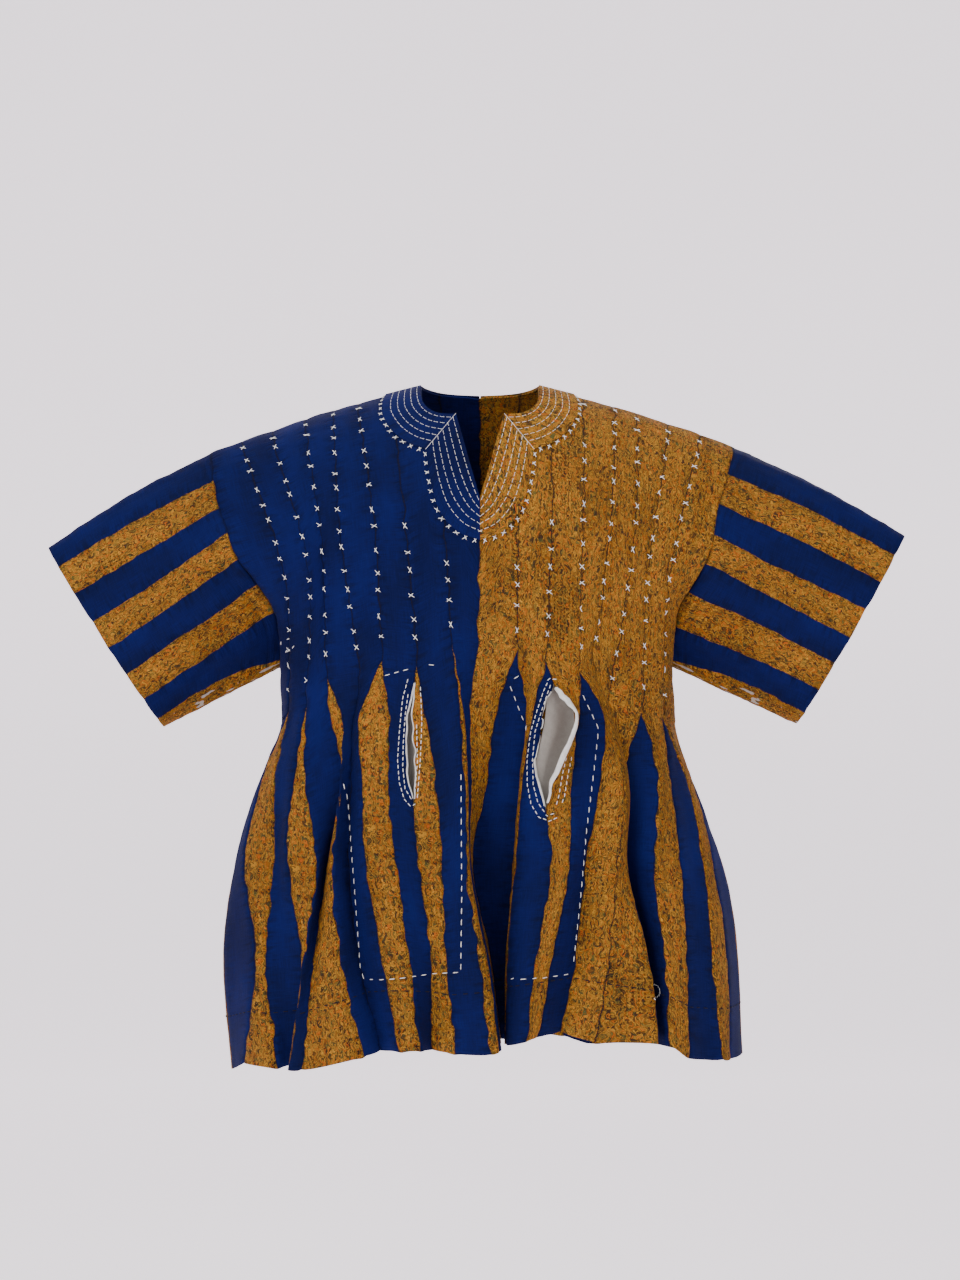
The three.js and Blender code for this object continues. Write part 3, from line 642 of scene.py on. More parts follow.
def soften_folds(ring, softness):
    """Rounds the folds of each row round the body, and leaves what is straight as it was."""
    for row in range(UNDERARM_ROW, len(ROWS)):
        sigma = softness * float(smooth_step(ROWS[row], 0.84, 1.08))
        if sigma < 0.05:  # too little to see
            continue
        parts = [(grid, reverse) for grid, reverse in ring if row >= grid["first"]]
        runs = []
        for grid, reverse in parts:
            run = grid["points"][row - grid["first"]]
            runs.append(run[::-1] if reverse else run)
        loop = np.concatenate(runs)
        steps = np.linalg.norm(np.roll(loop, -1, axis=0) - loop, axis=1)
        along = np.concatenate([[0], np.cumsum(steps)])
        closed = np.vstack([loop, loop[:1]])
        count = int(along[-1] / EVEN_STEP)
        even = np.linspace(0, along[-1], count, endpoint=False)
        dense = interpolate(even, along, closed)
        turns = np.fft.rfftfreq(count, d=along[-1] / count)
        blur = np.exp(-2 * (math.pi * turns * sigma) ** 2)
        soft = np.fft.irfft(np.fft.rfft(dense, axis=0) * blur[:, None], n=count, axis=0)
        soft = np.vstack([soft, soft[:1]])
        even = np.append(even, along[-1])
        new = interpolate(along[:-1], even, soft)
        start = 0
        for grid, reverse in parts:
            size = grid["points"].shape[1]
            run = new[start : start + size]
            grid["points"][row - grid["first"]] = run[::-1] if reverse else run
            start += size


def open_slit(grids, half):
    """Parts the two edges of a pocket slit, each strip or gore giving way across its width."""
    slit = SLITS[half]
    out = -1 if half == "left" else 1
    for grid in grids:
        if grid["name"] == f"front_{half}" and grid["strip"] == 3:
            weights, direction, lip = grid["shares"], out, slit["lip"]
            edge = grid["points"][:, -1, 2]
        elif grid["name"] == f"gore_front_{half}_f":
            grid["unslit"] = grid["points"].copy()
            weights, direction, lip = 1 - grid["shares"], -out, 0
            edge = grid["points"][:, 0, 2]
        else:
            continue
        above = (slit["topZ"] - edge) / (slit["topZ"] - slit["widestZ"])
        below = (edge - slit["bottomZ"]) / (slit["widestZ"] - slit["bottomZ"])
        open_share = np.sin(np.clip(np.minimum(above, below), 0, 1) * math.pi / 2)
        open_share[ROWS[grid["first"] :] <= 1] = 0
        weights = weights**1.6
        grid["points"][:, :, 0] += direction * slit["part"] / 2 * open_share[:, None] * weights
        grid["points"][:, :, 1] -= lip * open_share[:, None] * weights


def sleeve_net(half):
    """The sleeve's points, weave and seams: its first ring is the armhole, its last the cuff."""
    t = ROWS[: UNDERARM_ROW + 1]
    fore, aft = (side_line(face, half, t) for face in FACES)
    ring = np.vstack([fore, aft[-2::-1]])
    turn = curve_at([(-row, i) for i, row in enumerate(SLEEVE_RING)], -t) / 18
    angle = 2 * math.pi * np.concatenate([turn, 1 - turn[-2::-1]])
    cuff = CUFFS[half]
    top, bottom = (np.array([cuff[end][0], 0, cuff[end][1]], float) for end in ("top", "bottom"))
    middle, up = (top + bottom) / 2, (top - bottom) / 2
    end = middle + np.cos(angle)[:, None] * up
    end[:, 1] = -cuff["depth"] * np.sign(np.sin(angle)) * np.abs(np.sin(angle)) ** 0.8
    along = np.linspace(0, 1, SLEEVE_RINGS)
    rings = ring[None] + (end - ring)[None] * along[:, None, None]
    swell = np.sin(math.pi * along)[:, None]
    rings[:, :, 2] += SLEEVE_CROWN * swell * np.maximum(0, np.cos(angle))
    rings[:, :, 1] += SLEEVE_SAG * swell * (np.sin(angle) * np.cos(2 * angle + 0.6))
    # Strips: the share of the sleeve's height, turned into whole numbers at the strips' seams.
    height = (fore[:, 2] - fore[0, 2]) / (fore[-1, 2] - fore[0, 2])
    height = np.concatenate([height, height[-2::-1]])
    strips = SLEEVE_STRIPS[half]
    numbers = np.arange(len(strips["cuff"]))
    at_armhole = np.interp(height, strips["armhole"], numbers)
    at_cuff = np.interp((1 - np.cos(angle)) / 2, strips["cuff"], numbers)
    strip = at_armhole[None] + (at_cuff - at_armhole)[None] * along[:, None]
    lengths = np.linalg.norm(np.diff(rings, axis=0), axis=2)
    down = np.vstack([np.zeros(len(ring)), np.cumsum(lengths, axis=0)])
    weave = np.stack([strip * STRIP, down], axis=-1)
    seam = np.minimum(strip - np.floor(strip), np.ceil(strip) - strip) * STRIP
    seam = np.minimum(seam, down)
    return rings, weave, np.stack([seam, np.zeros_like(seam)], axis=-1)


def yoke_point(face, x, z):
    top = ridge_height(x)
    t = np.clip((top - z) / (top - SIDE_TIP_Z), 0, 1)
    return points(x, yoke_depth(face, x, z, t), z)


def band_rows(rows, steps):
    """Smooths a stretch of the neck band's rows into several times as many."""
    places = np.linspace(0, len(rows) - 1, (len(rows) - 1) * steps + 1)
    return {key: curve_at([(-i, row[key]) for i, row in enumerate(rows)], -places) for key in rows[0]}


def band_net(half):
    """The neck band's net, from the back over the shoulder to the foot of the V."""
    sign = SIGNS[half]
    shares = np.linspace(0, 1, 15)
    stretches = [
        ("back", [*BAND_BACK, BAND_SHOULDER]),
        ("front", [BAND_SHOULDER, *BAND_FRONT[: MITRE_ROW + 1]]),
        ("front", BAND_FRONT[MITRE_ROW:]),
    ]
    rows = []
    for index, (face, marks) in enumerate(stretches):
        stretch = band_rows(marks, BAND_STEPS[index])
        reach = mix(stretch["innerX"][:, None], stretch["outerX"][:, None], shares[None])
        inner_z = top_height(face, stretch["innerX"])
        if face == "front":
            inner_z = np.where(stretch["innerX"] > NECK_HALF - 0.02, SHOULDER_TOP - 0.1, inner_z)
        x = sign * np.maximum(BAND_FOOT_GAP, reach)
        fall = mix(inner_z[:, None], stretch["outerZ"][:, None], shares[None])
        z = np.minimum(fall, ridge_height(x))
        grid = yoke_point(face, x, z)
        if index < 2:
            on_shoulder = -1 if index == 0 else 0
            grid[on_shoulder, :, 1] = 0
            grid[on_shoulder, :, 2] = ridge_height(grid[on_shoulder, :, 0])
        rows.append(grid if index == 0 else grid[1:])
    return np.vstack(rows), shares


# ---------------------------------------------------------------------------------------------
# From the net to walls of cloth.
# ---------------------------------------------------------------------------------------------


def grid_quads(rows, columns, flip):
    index = np.arange(rows * columns).reshape(rows, columns)
    quads = np.stack([index[:-1, :-1], index[1:, :-1], index[1:, 1:], index[:-1, 1:]], axis=-1)
    quads = quads.reshape(-1, 4)
    return quads[:, ::-1] if flip else quads


def face_normals(places, quads):
    a, b, c, d = (places[quads[:, k]] for k in range(4))
    return np.cross(c - a, d - b)


def vertex_normals(places, quads):
    normals = face_normals(places, quads)
    sums = np.zeros_like(places)
    for k in range(4):
        np.add.at(sums, quads[:, k], normals)
    return sums / np.maximum(np.linalg.norm(sums, axis=1, keepdims=True), 1e-9)


def noise_at(places, scale, seed):
    """Smooth noise from -1 to 1 at each place, its grain in millimetres along each axis."""
    offset = Vector((seed * 17.3, seed * 5.1, seed * 9.7))
    values = [noise.noise(Vector(place) + offset) for place in (places / np.array(scale)).tolist()]
    return np.array(values)


def crease_depth(places):
    """How far the soft creases push the cloth in at each place."""
    depth = np.zeros(len(places))
    for i, crease in enumerate(CREASES):
        start = np.array([crease["x0"], crease["z0"]], float)
        run = np.array([crease["x1"], crease["z1"]], float) - start
        offset = places[:, (0, 2)] - start
        along = np.clip(offset @ run / (run @ run), 0, 1)
        bend = 5 * np.sin(along * 4.2 + i)
        across = (offset @ np.array([-run[1], run[0]])) / np.linalg.norm(run) - bend
        beyond = np.linalg.norm(offset - along[:, None] * run, axis=1)
        gap = np.where((along > 0) & (along < 1), np.abs(across), np.maximum(beyond, np.abs(across)))
        width = crease["width"] * (0.8 + 0.4 * along)
        fade = np.sin(math.pi * np.clip(along * 0.86 + 0.07, 0, 1)) ** 0.8
        trough = near(gap, width) - 0.45 * near(gap - 1.9 * width, width)
        on_face = smooth_step(places[:, 1] * outward(crease["face"]), 2, 22)
        depth += crease["depth"] * trough * fade * on_face
    return depth


def cloth_relief(places, seam, t):
    """Relief of the sewn strips: sunk seams, puckers along them, gathers at the tips, drape."""
    at_neck = smooth_step(np.hypot(places[:, 0], (places[:, 2] + 20) * 0.75), 88, 125)
    sunk = -0.9 * near(seam, 1.9) + 0.7 * (1 - near(seam, 10))
    sunk = sunk * mix(0.35, 1, smooth_step(t, 0.02, 0.14))
    pucker = 0.55 * noise_at(places, (6, 6, 4), 1) * near(seam, 6)
    gathered = smooth_step(t, 0.62, 0.98) * (1 - smooth_step(t, 1.02, 1.3))
    gathers = 1.5 * gathered * noise_at(places, (9, 9, 70), 2)
    skirt = smooth_step(t, 0.95, 1.4)
    drape = (0.7 + 1.7 * skirt) * noise_at(places, (34, 34, 150), 3)
    ripple = 0.5 * noise_at(places, (15, 15, 22), 4)
    ripple += 0.8 * (1 - skirt) * noise_at(places, (27, 27, 9), 5)
    return sunk + pucker + (gathers + drape + ripple - crease_depth(places)) * at_neck


class Cloth:
    """All pieces whose edges are sewn together, so that their walls meet there squarely."""

    def __init__(self):
        self.patches = []

    def add(self, name, places, weave, sewing, flip, t):
        rows, columns = places.shape[:2]
        steps = np.broadcast_to(np.asarray(t, float).reshape(-1, 1), (rows, columns))
        self.patches.append(
            {
                "name": name,
                "places": places.reshape(-1, 3),
                "weave": weave.reshape(-1, 2),
                "sewing": sewing.reshape(-1, 2),
                "quads": grid_quads(rows, columns, flip),
                "t": steps.reshape(-1),
            }
        )

    def settle(self):
        """Joins the pieces' shared points, adds the relief and finds the normals."""
        places = np.concatenate([patch["places"] for patch in self.patches])
        keys = np.round(places / JOIN_GAP).astype(np.int64)
        _, first, self.ids = np.unique(keys, axis=0, return_index=True, return_inverse=True)
        self.ids = self.ids.reshape(-1)
        self.places = places[first]
        seam = np.concatenate([patch["sewing"][:, 0] for patch in self.patches])
        t = np.concatenate([patch["t"] for patch in self.patches])
        start = 0
        quads = []
        for patch in self.patches:
            count = len(patch["places"])
            patch["ids"] = self.ids[start : start + count]
            quads.append(patch["ids"][patch["quads"]])
            start += count
        quads = np.concatenate(quads)
        normals = vertex_normals(self.places, quads)
        least = np.full(len(self.places), 1e9)
        np.minimum.at(least, self.ids, seam)
        grain = (15, 15, 15)
        drift = np.stack([noise_at(self.places, grain, 11 + axis) for axis in range(3)], axis=1)
        drift -= normals * (drift * normals).sum(axis=1, keepdims=True)
        calm = np.ones(len(self.places))
        for patch in self.patches:
            if patch["name"].startswith("sleeve"):
                calm[patch["ids"]] = 0.5
        drift *= (calm * SEAM_WOBBLE * near(least, 9))[:, None]
        relief = cloth_relief(self.places, least, t[first])
        self.places = self.places + normals * relief[:, None] + drift
        self.normals = vertex_normals(self.places, quads)


def add_object(name, data):
    """Puts new data into the scene as an object."""
    made = bpy.data.objects.new(name, data)
    bpy.context.collection.objects.link(made)
    return made


def mesh_object(name, vertices, faces):
    """A new mesh object from vertices in metres."""
    mesh = bpy.data.meshes.new(name)
    mesh.from_pydata(vertices, [], faces)
    mesh.update()
    return add_object(name, mesh)


def wall_mesh(name, places, normals, quads, weave, sewing, thickness):
    """A closed wall round a net of quads, with its two UV maps; returns the object and its skin."""
    used, local = np.unique(quads, return_inverse=True)
    local = local.reshape(quads.shape)
    middle, out = places[used], normals[used]
    outside = middle + out * thickness / 2
    inside = middle - out * thickness / 2
    count = len(used)
    faces, corners = [], []
    open_edges = {}
    skin = []
    for index, quad in enumerate(local.tolist()):
        ring = [(vertex, 4 * index + k) for k, vertex in enumerate(quad) if vertex != quad[k - 1]]
        if len(ring) < 3:
            continue
        faces.append([vertex for vertex, _ in ring])
        corners.append([corner for _, corner in ring])
        skin.append(faces[-1])
        faces.append([vertex + count for vertex, _ in reversed(ring)])
        corners.append([corner for _, corner in reversed(ring)])
        for k, (vertex, corner) in enumerate(ring):
            after, after_corner = ring[(k + 1) % len(ring)]
            if (after, vertex) in open_edges:
                del open_edges[after, vertex]
            else:
                open_edges[vertex, after] = (corner, after_corner)
    for (a, b), (corner_a, corner_b) in open_edges.items():
        faces.append([b, a, a + count, b + count])
        corners.append([corner_b, corner_a, corner_a, corner_b])
    made = mesh_object(name, (np.vstack([outside, inside]) * MM).tolist(), faces)
    flat = np.concatenate([np.array(ring) for ring in corners])
    for layer, values in (("weave", weave), ("sewing", sewing)):
        uv = made.data.uv_layers.new(name=layer)
        uv.data.foreach_set("uv", (values[flat] * MM).ravel())
    return made, BVHTree.FromPolygons(outside.tolist(), skin)


def at_corners(quads, weave, sewing):
    """The two maps' values at every corner of the quads."""
    return [values.reshape(-1, 2)[quads].reshape(-1, 2) for values in (weave, sewing)]


def shade(made, degrees):
    bpy.ops.object.select_all(action="DESELECT")
    made.select_set(True)
    bpy.context.view_layer.objects.active = made
    bpy.ops.object.shade_smooth_by_angle(angle=math.radians(degrees))
    made.select_set(False)


class Workroom:
    """What the operators share: the nets, the settled cloth and the skins to sew on."""

    grids = {}
    cloth = None
    skins = {}
    bands = {}


def piece_maps(grid):
    """Weave and sewing coordinates of a strip or gore, in millimetres."""
    shares, strip = grid["shares"], grid["strip"]
    down = length_down(grid["points"][:, len(shares) // 2])
    if strip:
        width = np.full(len(down), float(STRIP))
        offset = strip * STRIP_OFFSET
    else:
        width = np.linalg.norm(grid["points"][:, -1] - grid["points"][:, 0], axis=1)
        offset = GORE_OFFSET
    across = (shares[None] - 0.5) * width[:, None] + offset
    weave = np.stack([across, np.broadcast_to(down[:, None], across.shape)], axis=-1)
    seam = np.minimum(shares, 1 - shares)[None] * width[:, None]
    yoke = 1.0 - smooth_step(ROWS[grid["first"] :], 0.985, 1.0)
    left, right = (np.maximum(yoke, float(dark))[:, None] for dark in grid["dark"])
    left = left * (shares < 0.5) * (strip != STRIPS)
    right = right * (shares > 0.5) * (strip != 1)
    return weave, np.stack([seam, (left + right) * 1000], axis=-1)


def lay_out_cloth(softness):
    """Nets the whole body, rounds its folds, opens the pockets and settles the cloth."""
    room = Workroom
    halves = {(face, half): half_net(face, half) for face in FACES for half in HALVES}
    sides = {half: side_gore(half) for half in HALVES}
    ring = [(grid, False) for grid in halves["front", "left"]]
    ring += [(grid, True) for grid in reversed(halves["front", "right"])]
    ring += [(sides["right"], False)]
    ring += [(grid, False) for grid in halves["back", "right"]]
    ring += [(grid, True) for grid in reversed(halves["back", "left"])]
    ring += [(sides["left"], True)]
    soften_folds(ring, softness)
    for half in HALVES:
        open_slit(halves["front", half], half)
    room.cloth = Cloth()

    def lay(grid, flip):
        room.cloth.add(grid["name"], grid["points"], *piece_maps(grid), flip, ROWS[grid["first"] :])
        room.grids.setdefault(grid["name"], []).append(grid)

    for (face, half), grids in halves.items():
        for grid in grids:
            lay(grid, (face == "front") == (half == "right"))
    for half in HALVES:
        lay(sides[half], half == "left")
        room.cloth.add(f"sleeve_{half}", *sleeve_net(half), half == "right", SLEEVE_GATHER)
    room.cloth.settle()


def sew_cloth(node, weave_name):
    """Makes one piece of the settled cloth and hides the imported solid that it stands for."""
    cloth = Workroom.cloth
    patches = [patch for patch in cloth.patches if patch["name"] == node]
    quads = np.concatenate([patch["ids"][patch["quads"]] for patch in patches])
    maps = [at_corners(patch["quads"], patch["weave"], patch["sewing"]) for patch in patches]
    weave, sewing = (np.concatenate(values) for values in zip(*maps))
    made, Workroom.skins[node] = wall_mesh(
        node + "_cloth", cloth.places, cloth.normals, quads, weave, sewing, sizes().cloth_thickness
    )
    material = bpy.data.materials[weave_name + "_weave"]
    finish_cloth(made, node, material)


def finish_cloth(made, node, material):
    finish_piece(made, material, 48)
    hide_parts(node)


def finish_piece(made, material, degrees=70):
    """Colours and shades a piece, smooth up to an angle, and lets it ride on the root body."""
    made.data.materials.append(material)
    shade(made, degrees)
    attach(made, "root")


# ---------------------------------------------------------------------------------------------
# Shaders.
# ---------------------------------------------------------------------------------------------


class Wire:
    """An output socket that adds, multiplies and compares as a number does."""

    def __init__(self, tree, socket):
        self.tree = tree
        self.socket = socket

    def node(self, kind, settings, inputs, output=0):
        """Adds any node: its settings first, then values or links of its sockets."""
        made = self.tree.nodes.new(kind)
        for name, value in settings.items():
            if name == "stops":
                ramp = made.color_ramp
                while len(ramp.elements) < len(value):
                    ramp.elements.new(0.5)
                for element, (place, colour) in zip(ramp.elements, value):
                    element.position = place
                    element.color = colour
            else:
                setattr(made, name, value)
        self.feed(made, inputs)
        return Wire(self.tree, made.outputs[output])

    def feed(self, made, inputs):
        """Gives a node's sockets their values or links."""
        for name, value in inputs.items():
            if isinstance(value, Wire):
                self.tree.links.new(value.socket, made.inputs[name])
            else:
                made.inputs[name].default_value = value

    def math(self, operation, *values):
        return self.node("ShaderNodeMath", {"operation": operation}, dict(enumerate(values)))

    def __add__(self, other):
        return self.math("ADD", self, other)

    def __sub__(self, other):
        return self.math("SUBTRACT", self, other)

    def __rsub__(self, other):
        return self.math("SUBTRACT", other, self)

    def __mul__(self, other):
        return self.math("MULTIPLY", self, other)

    def __truediv__(self, other):
        return self.math("DIVIDE", self, other)

    def __lt__(self, other):
        return self.math("LESS_THAN", self, other)

    def __gt__(self, other):
        return self.math("GREATER_THAN", self, other)

    __radd__ = __add__
    __rmul__ = __mul__

    def wave(self, pitch):
        return self.math("SINE", self * (2 * math.pi / pitch))

    def fraction(self, pitch):
        """The share of the way through each pitch."""
        turn = self / pitch
        return turn.math("FRACT", turn)

    def rise(self, low, high):
        """0 below low and 1 above high, smooth between."""
        inputs = {0: self, 1: low, 2: high, 3: 0.0, 4: 1.0}
        return self.node("ShaderNodeMapRange", {"interpolation_type": "SMOOTHSTEP"}, inputs)

    def blend(self, low, high, how="MIX"):
        """From one colour to another as this goes from 0 to 1."""
        settings = {"data_type": "RGBA", "blend_type": how}
        return self.node("ShaderNodeMix", settings, {"Factor": self, 6: low, 7: high}, 2)

    def darker(self, amount):
        return amount.blend(self, BLACK, "MULTIPLY")

    def vector(self, operation, other):
        return self.node("ShaderNodeVectorMath", {"operation": operation}, {0: self, 1: other})

    def part(self, axis):
        return self.node("ShaderNodeSeparateXYZ", {}, {"Vector": self}, axis)

    def noise(self, scale, detail=2.0, rough=0.5):
        """Noise over this vector, from 0 to 1, its grain set along each axis."""
        inputs = {"Vector": self.vector("MULTIPLY", scale), "Scale": 1.0, "Detail": detail}
        return self.node("ShaderNodeTexNoise", {}, {**inputs, "Roughness": rough})

    def cells(self, output, **settings):
        """Irregular cells, one to a unit of this vector."""
        settings["voronoi_dimensions"] = "2D"
        return self.node("ShaderNodeTexVoronoi", settings, {"Vector": self, "Scale": 1.0}, output)

    def bump(self, strength, distance):
        inputs = {"Strength": strength, "Distance": distance, "Height": self}
        return self.node("ShaderNodeBump", {}, inputs)


BLACK = (0.0, 0.0, 0.0, 1.0)


def opaque(colour, factors=(1, 1, 1)):
    """A colour with each channel scaled, up to 1, and full cover."""
    return (*(min(1.0, channel * factor) for channel, factor in zip(colour, factors)), 1.0)


def start_shader(name):
    material = bpy.data.materials.new(name)
    material.use_nodes = True
    surface = material.node_tree.nodes["Principled BSDF"]
    return material, Wire(material.node_tree, surface.outputs[0]), surface


def blue_yarn(weave, props):
    """Indigo-dyed cotton: dark, with thin warp streaks and a little fading."""
    streaks = weave.noise((900.0, 45.0, 1.0))
    picks = weave.noise((50.0, 800.0, 1.0))
    faded = weave.noise((14.0, 9.0, 1.0), 3.0)
    share = (streaks * 0.25 + picks * 0.25 + faded * 0.6).rise(0.38, 0.8)
    return share.blend(opaque(props.blue, [0.55] * 3), opaque(props.blue, [1.4] * 3))


def gold_yarn(weave, props):
    """Gold cotton with short flecks of orange, olive and dark yarn that wander."""
    bend = weave.noise((150.0, 110.0, 1.0))
    sway = weave.noise((120.0, 150.0, 1.0))
    push = weave.node("ShaderNodeCombineXYZ", {}, {"X": bend * 15.0, "Y": sway * 5.0})
    moved = weave.vector("MULTIPLY", FLECKS).vector("ADD", push)
    pick = moved.node("ShaderNodeSeparateColor", {}, {"Color": moved.cells("Color")})
    edge = moved.cells("Distance", feature="DISTANCE_TO_EDGE")
    gold = props.gold
    stops = [
        (0.0, opaque(gold, (0.16, 0.17, 0.5))),
        (0.14, opaque(gold, (0.5, 0.46, 0.6))),
        (0.26, opaque(gold)),
        (0.5, opaque(gold, (1.45, 1.5, 1.3))),
        (0.64, opaque(props.orange)),
        (0.76, opaque(gold, (1.1, 1.12, 1))),
        (0.87, opaque(props.olive)),
        (0.95, opaque(gold, (0.16, 0.17, 0.7))),
    ]
    flecks = pick.node("ShaderNodeValToRGB", {"stops": stops}, {"Fac": pick})
    colour = flecks.darker((1 - edge.rise(0.04, 0.22)) * 0.5)
    wide, long = CHAIN_PITCH
    chains = (weave.part("X").wave(wide) > 0.55) * (weave.part("Y").fraction(long) < 0.55)
    colour = colour.darker(chains * weave.noise((28.0, 11.0, 1.0)).rise(0.52, 0.66) * 0.62)
    broad = weave.noise((22.0, 9.0, 1.0), 3.0)
    return colour.darker(broad.rise(0.4, 0.72) * 0.3)


def striped_yarn(weave, props):
    """Blue and gold strips in turn, the last gold one worn bare in patches."""
    strip = weave.part("X") / (STRIP * MM)
    bare = (strip > 7.05) * (weave.noise((90.0, 34.0, 1.0), 3.0) > 0.6)
    gold = (bare * 0.8).blend(gold_yarn(weave, props), opaque(props.cotton))
    return (strip.fraction(2) > 0.5).blend(blue_yarn(weave, props), gold)


def strip_cloth(kind, props):
    """Hand-woven strip cloth: kind is blue, gold, or striped for both in turn."""
    material, wire, surface = start_shader(kind + "_weave")
    weave, sewing = (wire.node("ShaderNodeUVMap", {"uv_map": name}, {}) for name in ("weave", "sewing"))
    across, along = weave.part("X"), weave.part("Y")
    seam, thread = sewing.part("X"), sewing.part("Y")
    colour = {"blue": blue_yarn, "gold": gold_yarn, "striped": striped_yarn}[kind](weave, props)
    # Painted shade: the cloth is darkened within about two millimetres of each seam, where the sunk groove
    # would lie in shade.
    colour = colour.darker((1 - seam.rise(0.0003, 0.0022)) * 0.45)
    wrinkles = weave.noise((42.0, 150.0, 1.0))
    near_seam = 1 - seam.rise(0.003, 0.019)
    # Painted shade in the puckers near the seams: the hollows of the wrinkle noise are darkened as if
    # shaded.
    colour = colour.darker((1 - wrinkles.rise(0.36, 0.52)) * near_seam * 0.34)
    wander = weave.noise((40.0, 160.0, 1.0)) * 0.0007
    dashes = along.fraction(DASH_PITCH) < 0.74
    stitched = (seam < wander + DASH_HALF_WIDTH) * dashes * (thread > 0.5)
    colour = (stitched * 0.93).blend(colour, opaque(props.dark_thread))
    pitch = props.thread_pitch * 2
    over = across.wave(pitch) * along.wave(pitch)
    slubs = weave.noise((700.0, 260.0, 1.0), 3.0, 0.6)
    height = over * 0.35 + slubs * 1.0 + stitched * 0.6 + wrinkles * near_seam * props.puckers
    inputs = {"Base Color": colour, "Normal": height.bump(0.55, 0.0006)}
    wire.feed(surface, {**inputs, "Roughness": 0.86, "Specular IOR Level": 0.12})
    return material


def plain_cloth(name, base, streak):
    """Plain cotton, or thread, whose colour wavers a little."""
    material, wire, surface = start_shader(name)
    place = wire.node("ShaderNodeTexCoord", {}, {}, "Object")
    mottle = place.noise((160.0, 160.0, 160.0), 4.0)
    fine = place.noise((1400.0, 1400.0, 700.0))
    share = (mottle * 0.6 + fine * 0.5).rise(0.35, 0.8)
    colour = share.blend(opaque(base, [1 - streak] * 3), opaque(base))
    inputs = {"Base Color": colour, "Normal": fine.bump(0.4, 0.0004)}
    wire.feed(surface, {**inputs, "Roughness": 0.88, "Specular IOR Level": 0.25})
    return material


# ---------------------------------------------------------------------------------------------
# Stitches.
# ---------------------------------------------------------------------------------------------


def stitch_shape():
    """One stitch, one unit long and thick: a bent, tapering bar of five sides."""
    stations = [(-0.5, 0.45, -0.1), (-0.3, 1.0, 0.75), (0.3, 1.0, 0.75), (0.5, 0.45, -0.1)]
    vertices = []
    for along, radius, height in stations:
        for k in range(5):
            angle = 2 * math.pi * k / 5
            vertices.append((along, radius * math.cos(angle), height + radius * math.sin(angle)))
    faces = []
    for ring in range(3):
        for k in range(5):
            a, b = ring * 5 + k, ring * 5 + (k + 1) % 5
            faces.append([b, b + 5, a + 5, a])
    faces.append([4, 3, 2, 1, 0])
    faces.append([15, 16, 17, 18, 19])
    return np.array(vertices), faces


class Thread:
    """Gathers stitches of one yarn and makes them one mesh."""

    def __init__(self, radius):
        self.radius = radius
        self.stitches = []

    def stitch(self, place, direction, normal, length):
        """A stitch at a place in millimetres, lying along a direction on the skin."""
        normal = np.array(normal, float)
        normal /= np.linalg.norm(normal)
        direction = np.array(direction, float)
        direction = direction - normal * (direction @ normal)
        size = np.linalg.norm(direction)
        if size > 1e-6:
            self.stitches.append((np.array(place, float), direction / size, normal, length))

    def cross(self, place, direction, normal, length, lean, lift):
        """Two stitches that cross, the second on top of the first."""
        side = np.cross(normal, direction)
        side = side / max(1e-9, np.linalg.norm(side))
        ahead = np.array(direction) / max(1e-9, np.linalg.norm(direction))
        turn = math.radians(45) + lean
        for way in (1, -1):
            lay = ahead * math.cos(turn) + way * side * math.sin(turn)
            raised = np.array(place) + np.array(normal) * (0.0 if way > 0 else self.radius * 0.7)
            self.stitch(raised + np.array(normal) * lift, lay, normal, length * (1 + 0.14 * way))

    def run(self, line, spacing, length, skins, start=0.5, sunk=False):
        """Running stitches on the skins, near a line of points; sunk ones show only their top."""
        for place, ahead in even_steps(line, spacing, start):
            hit, normal = skin_point(skins, place)
            self.stitch(hit, ahead, -normal if sunk else normal, length)

    def run_ahead(self, line, spacing, length, skins):
        """Running stitches along a line given as x and z seen from ahead."""
        for place, ahead in even_steps(line, spacing):
            seen = skin_ahead(skins, *place)
            if seen:
                self.stitch(seen[0], (ahead[0], 0, ahead[1]), seen[1], length)

    def make(self, name, yarn, slot):
        shape, faces = stitch_shape()
        vertices, polygons = [], []
        for index, (place, ahead, normal, length) in enumerate(self.stitches):
            side = np.cross(normal, ahead)
            local = place + np.outer(shape[:, 0] * length, ahead)
            local = local + np.outer(shape[:, 1] * self.radius, side)
            vertices.append(local + np.outer(shape[:, 2] * self.radius, normal))
            polygons += [[corner + index * len(shape) for corner in face] for face in faces]
        finish_piece(mesh_object(name, (np.vstack(vertices) * MM).tolist(), polygons), yarn)


def nearest(answers):
    """The closest of the skins' answers, as a place and its normal."""
    hits = [answer for answer in answers if answer[0] is not None]
    if not hits:
        return None
    hit, normal = min(hits, key=lambda answer: answer[3])[:2]
    return np.array(hit), np.array(normal)


def skin_point(skins, place):
    """The nearest place on any of the skins, and its normal."""
    return nearest([skin.find_nearest(Vector(place)) for skin in skins])


def skin_ahead(skins, x, z):
    """The first place that a straight look from ahead meets, and its normal."""
    return nearest([skin.ray_cast(Vector((x, -500, z)), Vector((0, 1, 0))) for skin in skins])


def even_steps(line, spacing, start=0.5):
    """Places at even steps along a line of points, with the line's direction there."""
    line = np.array(line, float)
    along = length_down(line)
    count = max(1, int(along[-1] / spacing))
    stops = (np.arange(count) + start) * (along[-1] / count)
    places, ahead, behind = (interpolate(stops + step, along, line) for step in (0, 0.8, -0.8))
    return list(zip(places, ahead - behind))


# ---------------------------------------------------------------------------------------------
# Sizes and colours that a user would change.
# ---------------------------------------------------------------------------------------------


def size_of(name, about, default, low, high):
    about += ", in millimetres"
    return bpy.props.FloatProperty(name=name, description=about, default=default, min=low, max=high)


def colour_of(name, about, default):
    return bpy.props.FloatVectorProperty(
        name=name, description="Colour of the " + about, default=default, min=0.0, max=1.0, subtype="COLOR"
    )


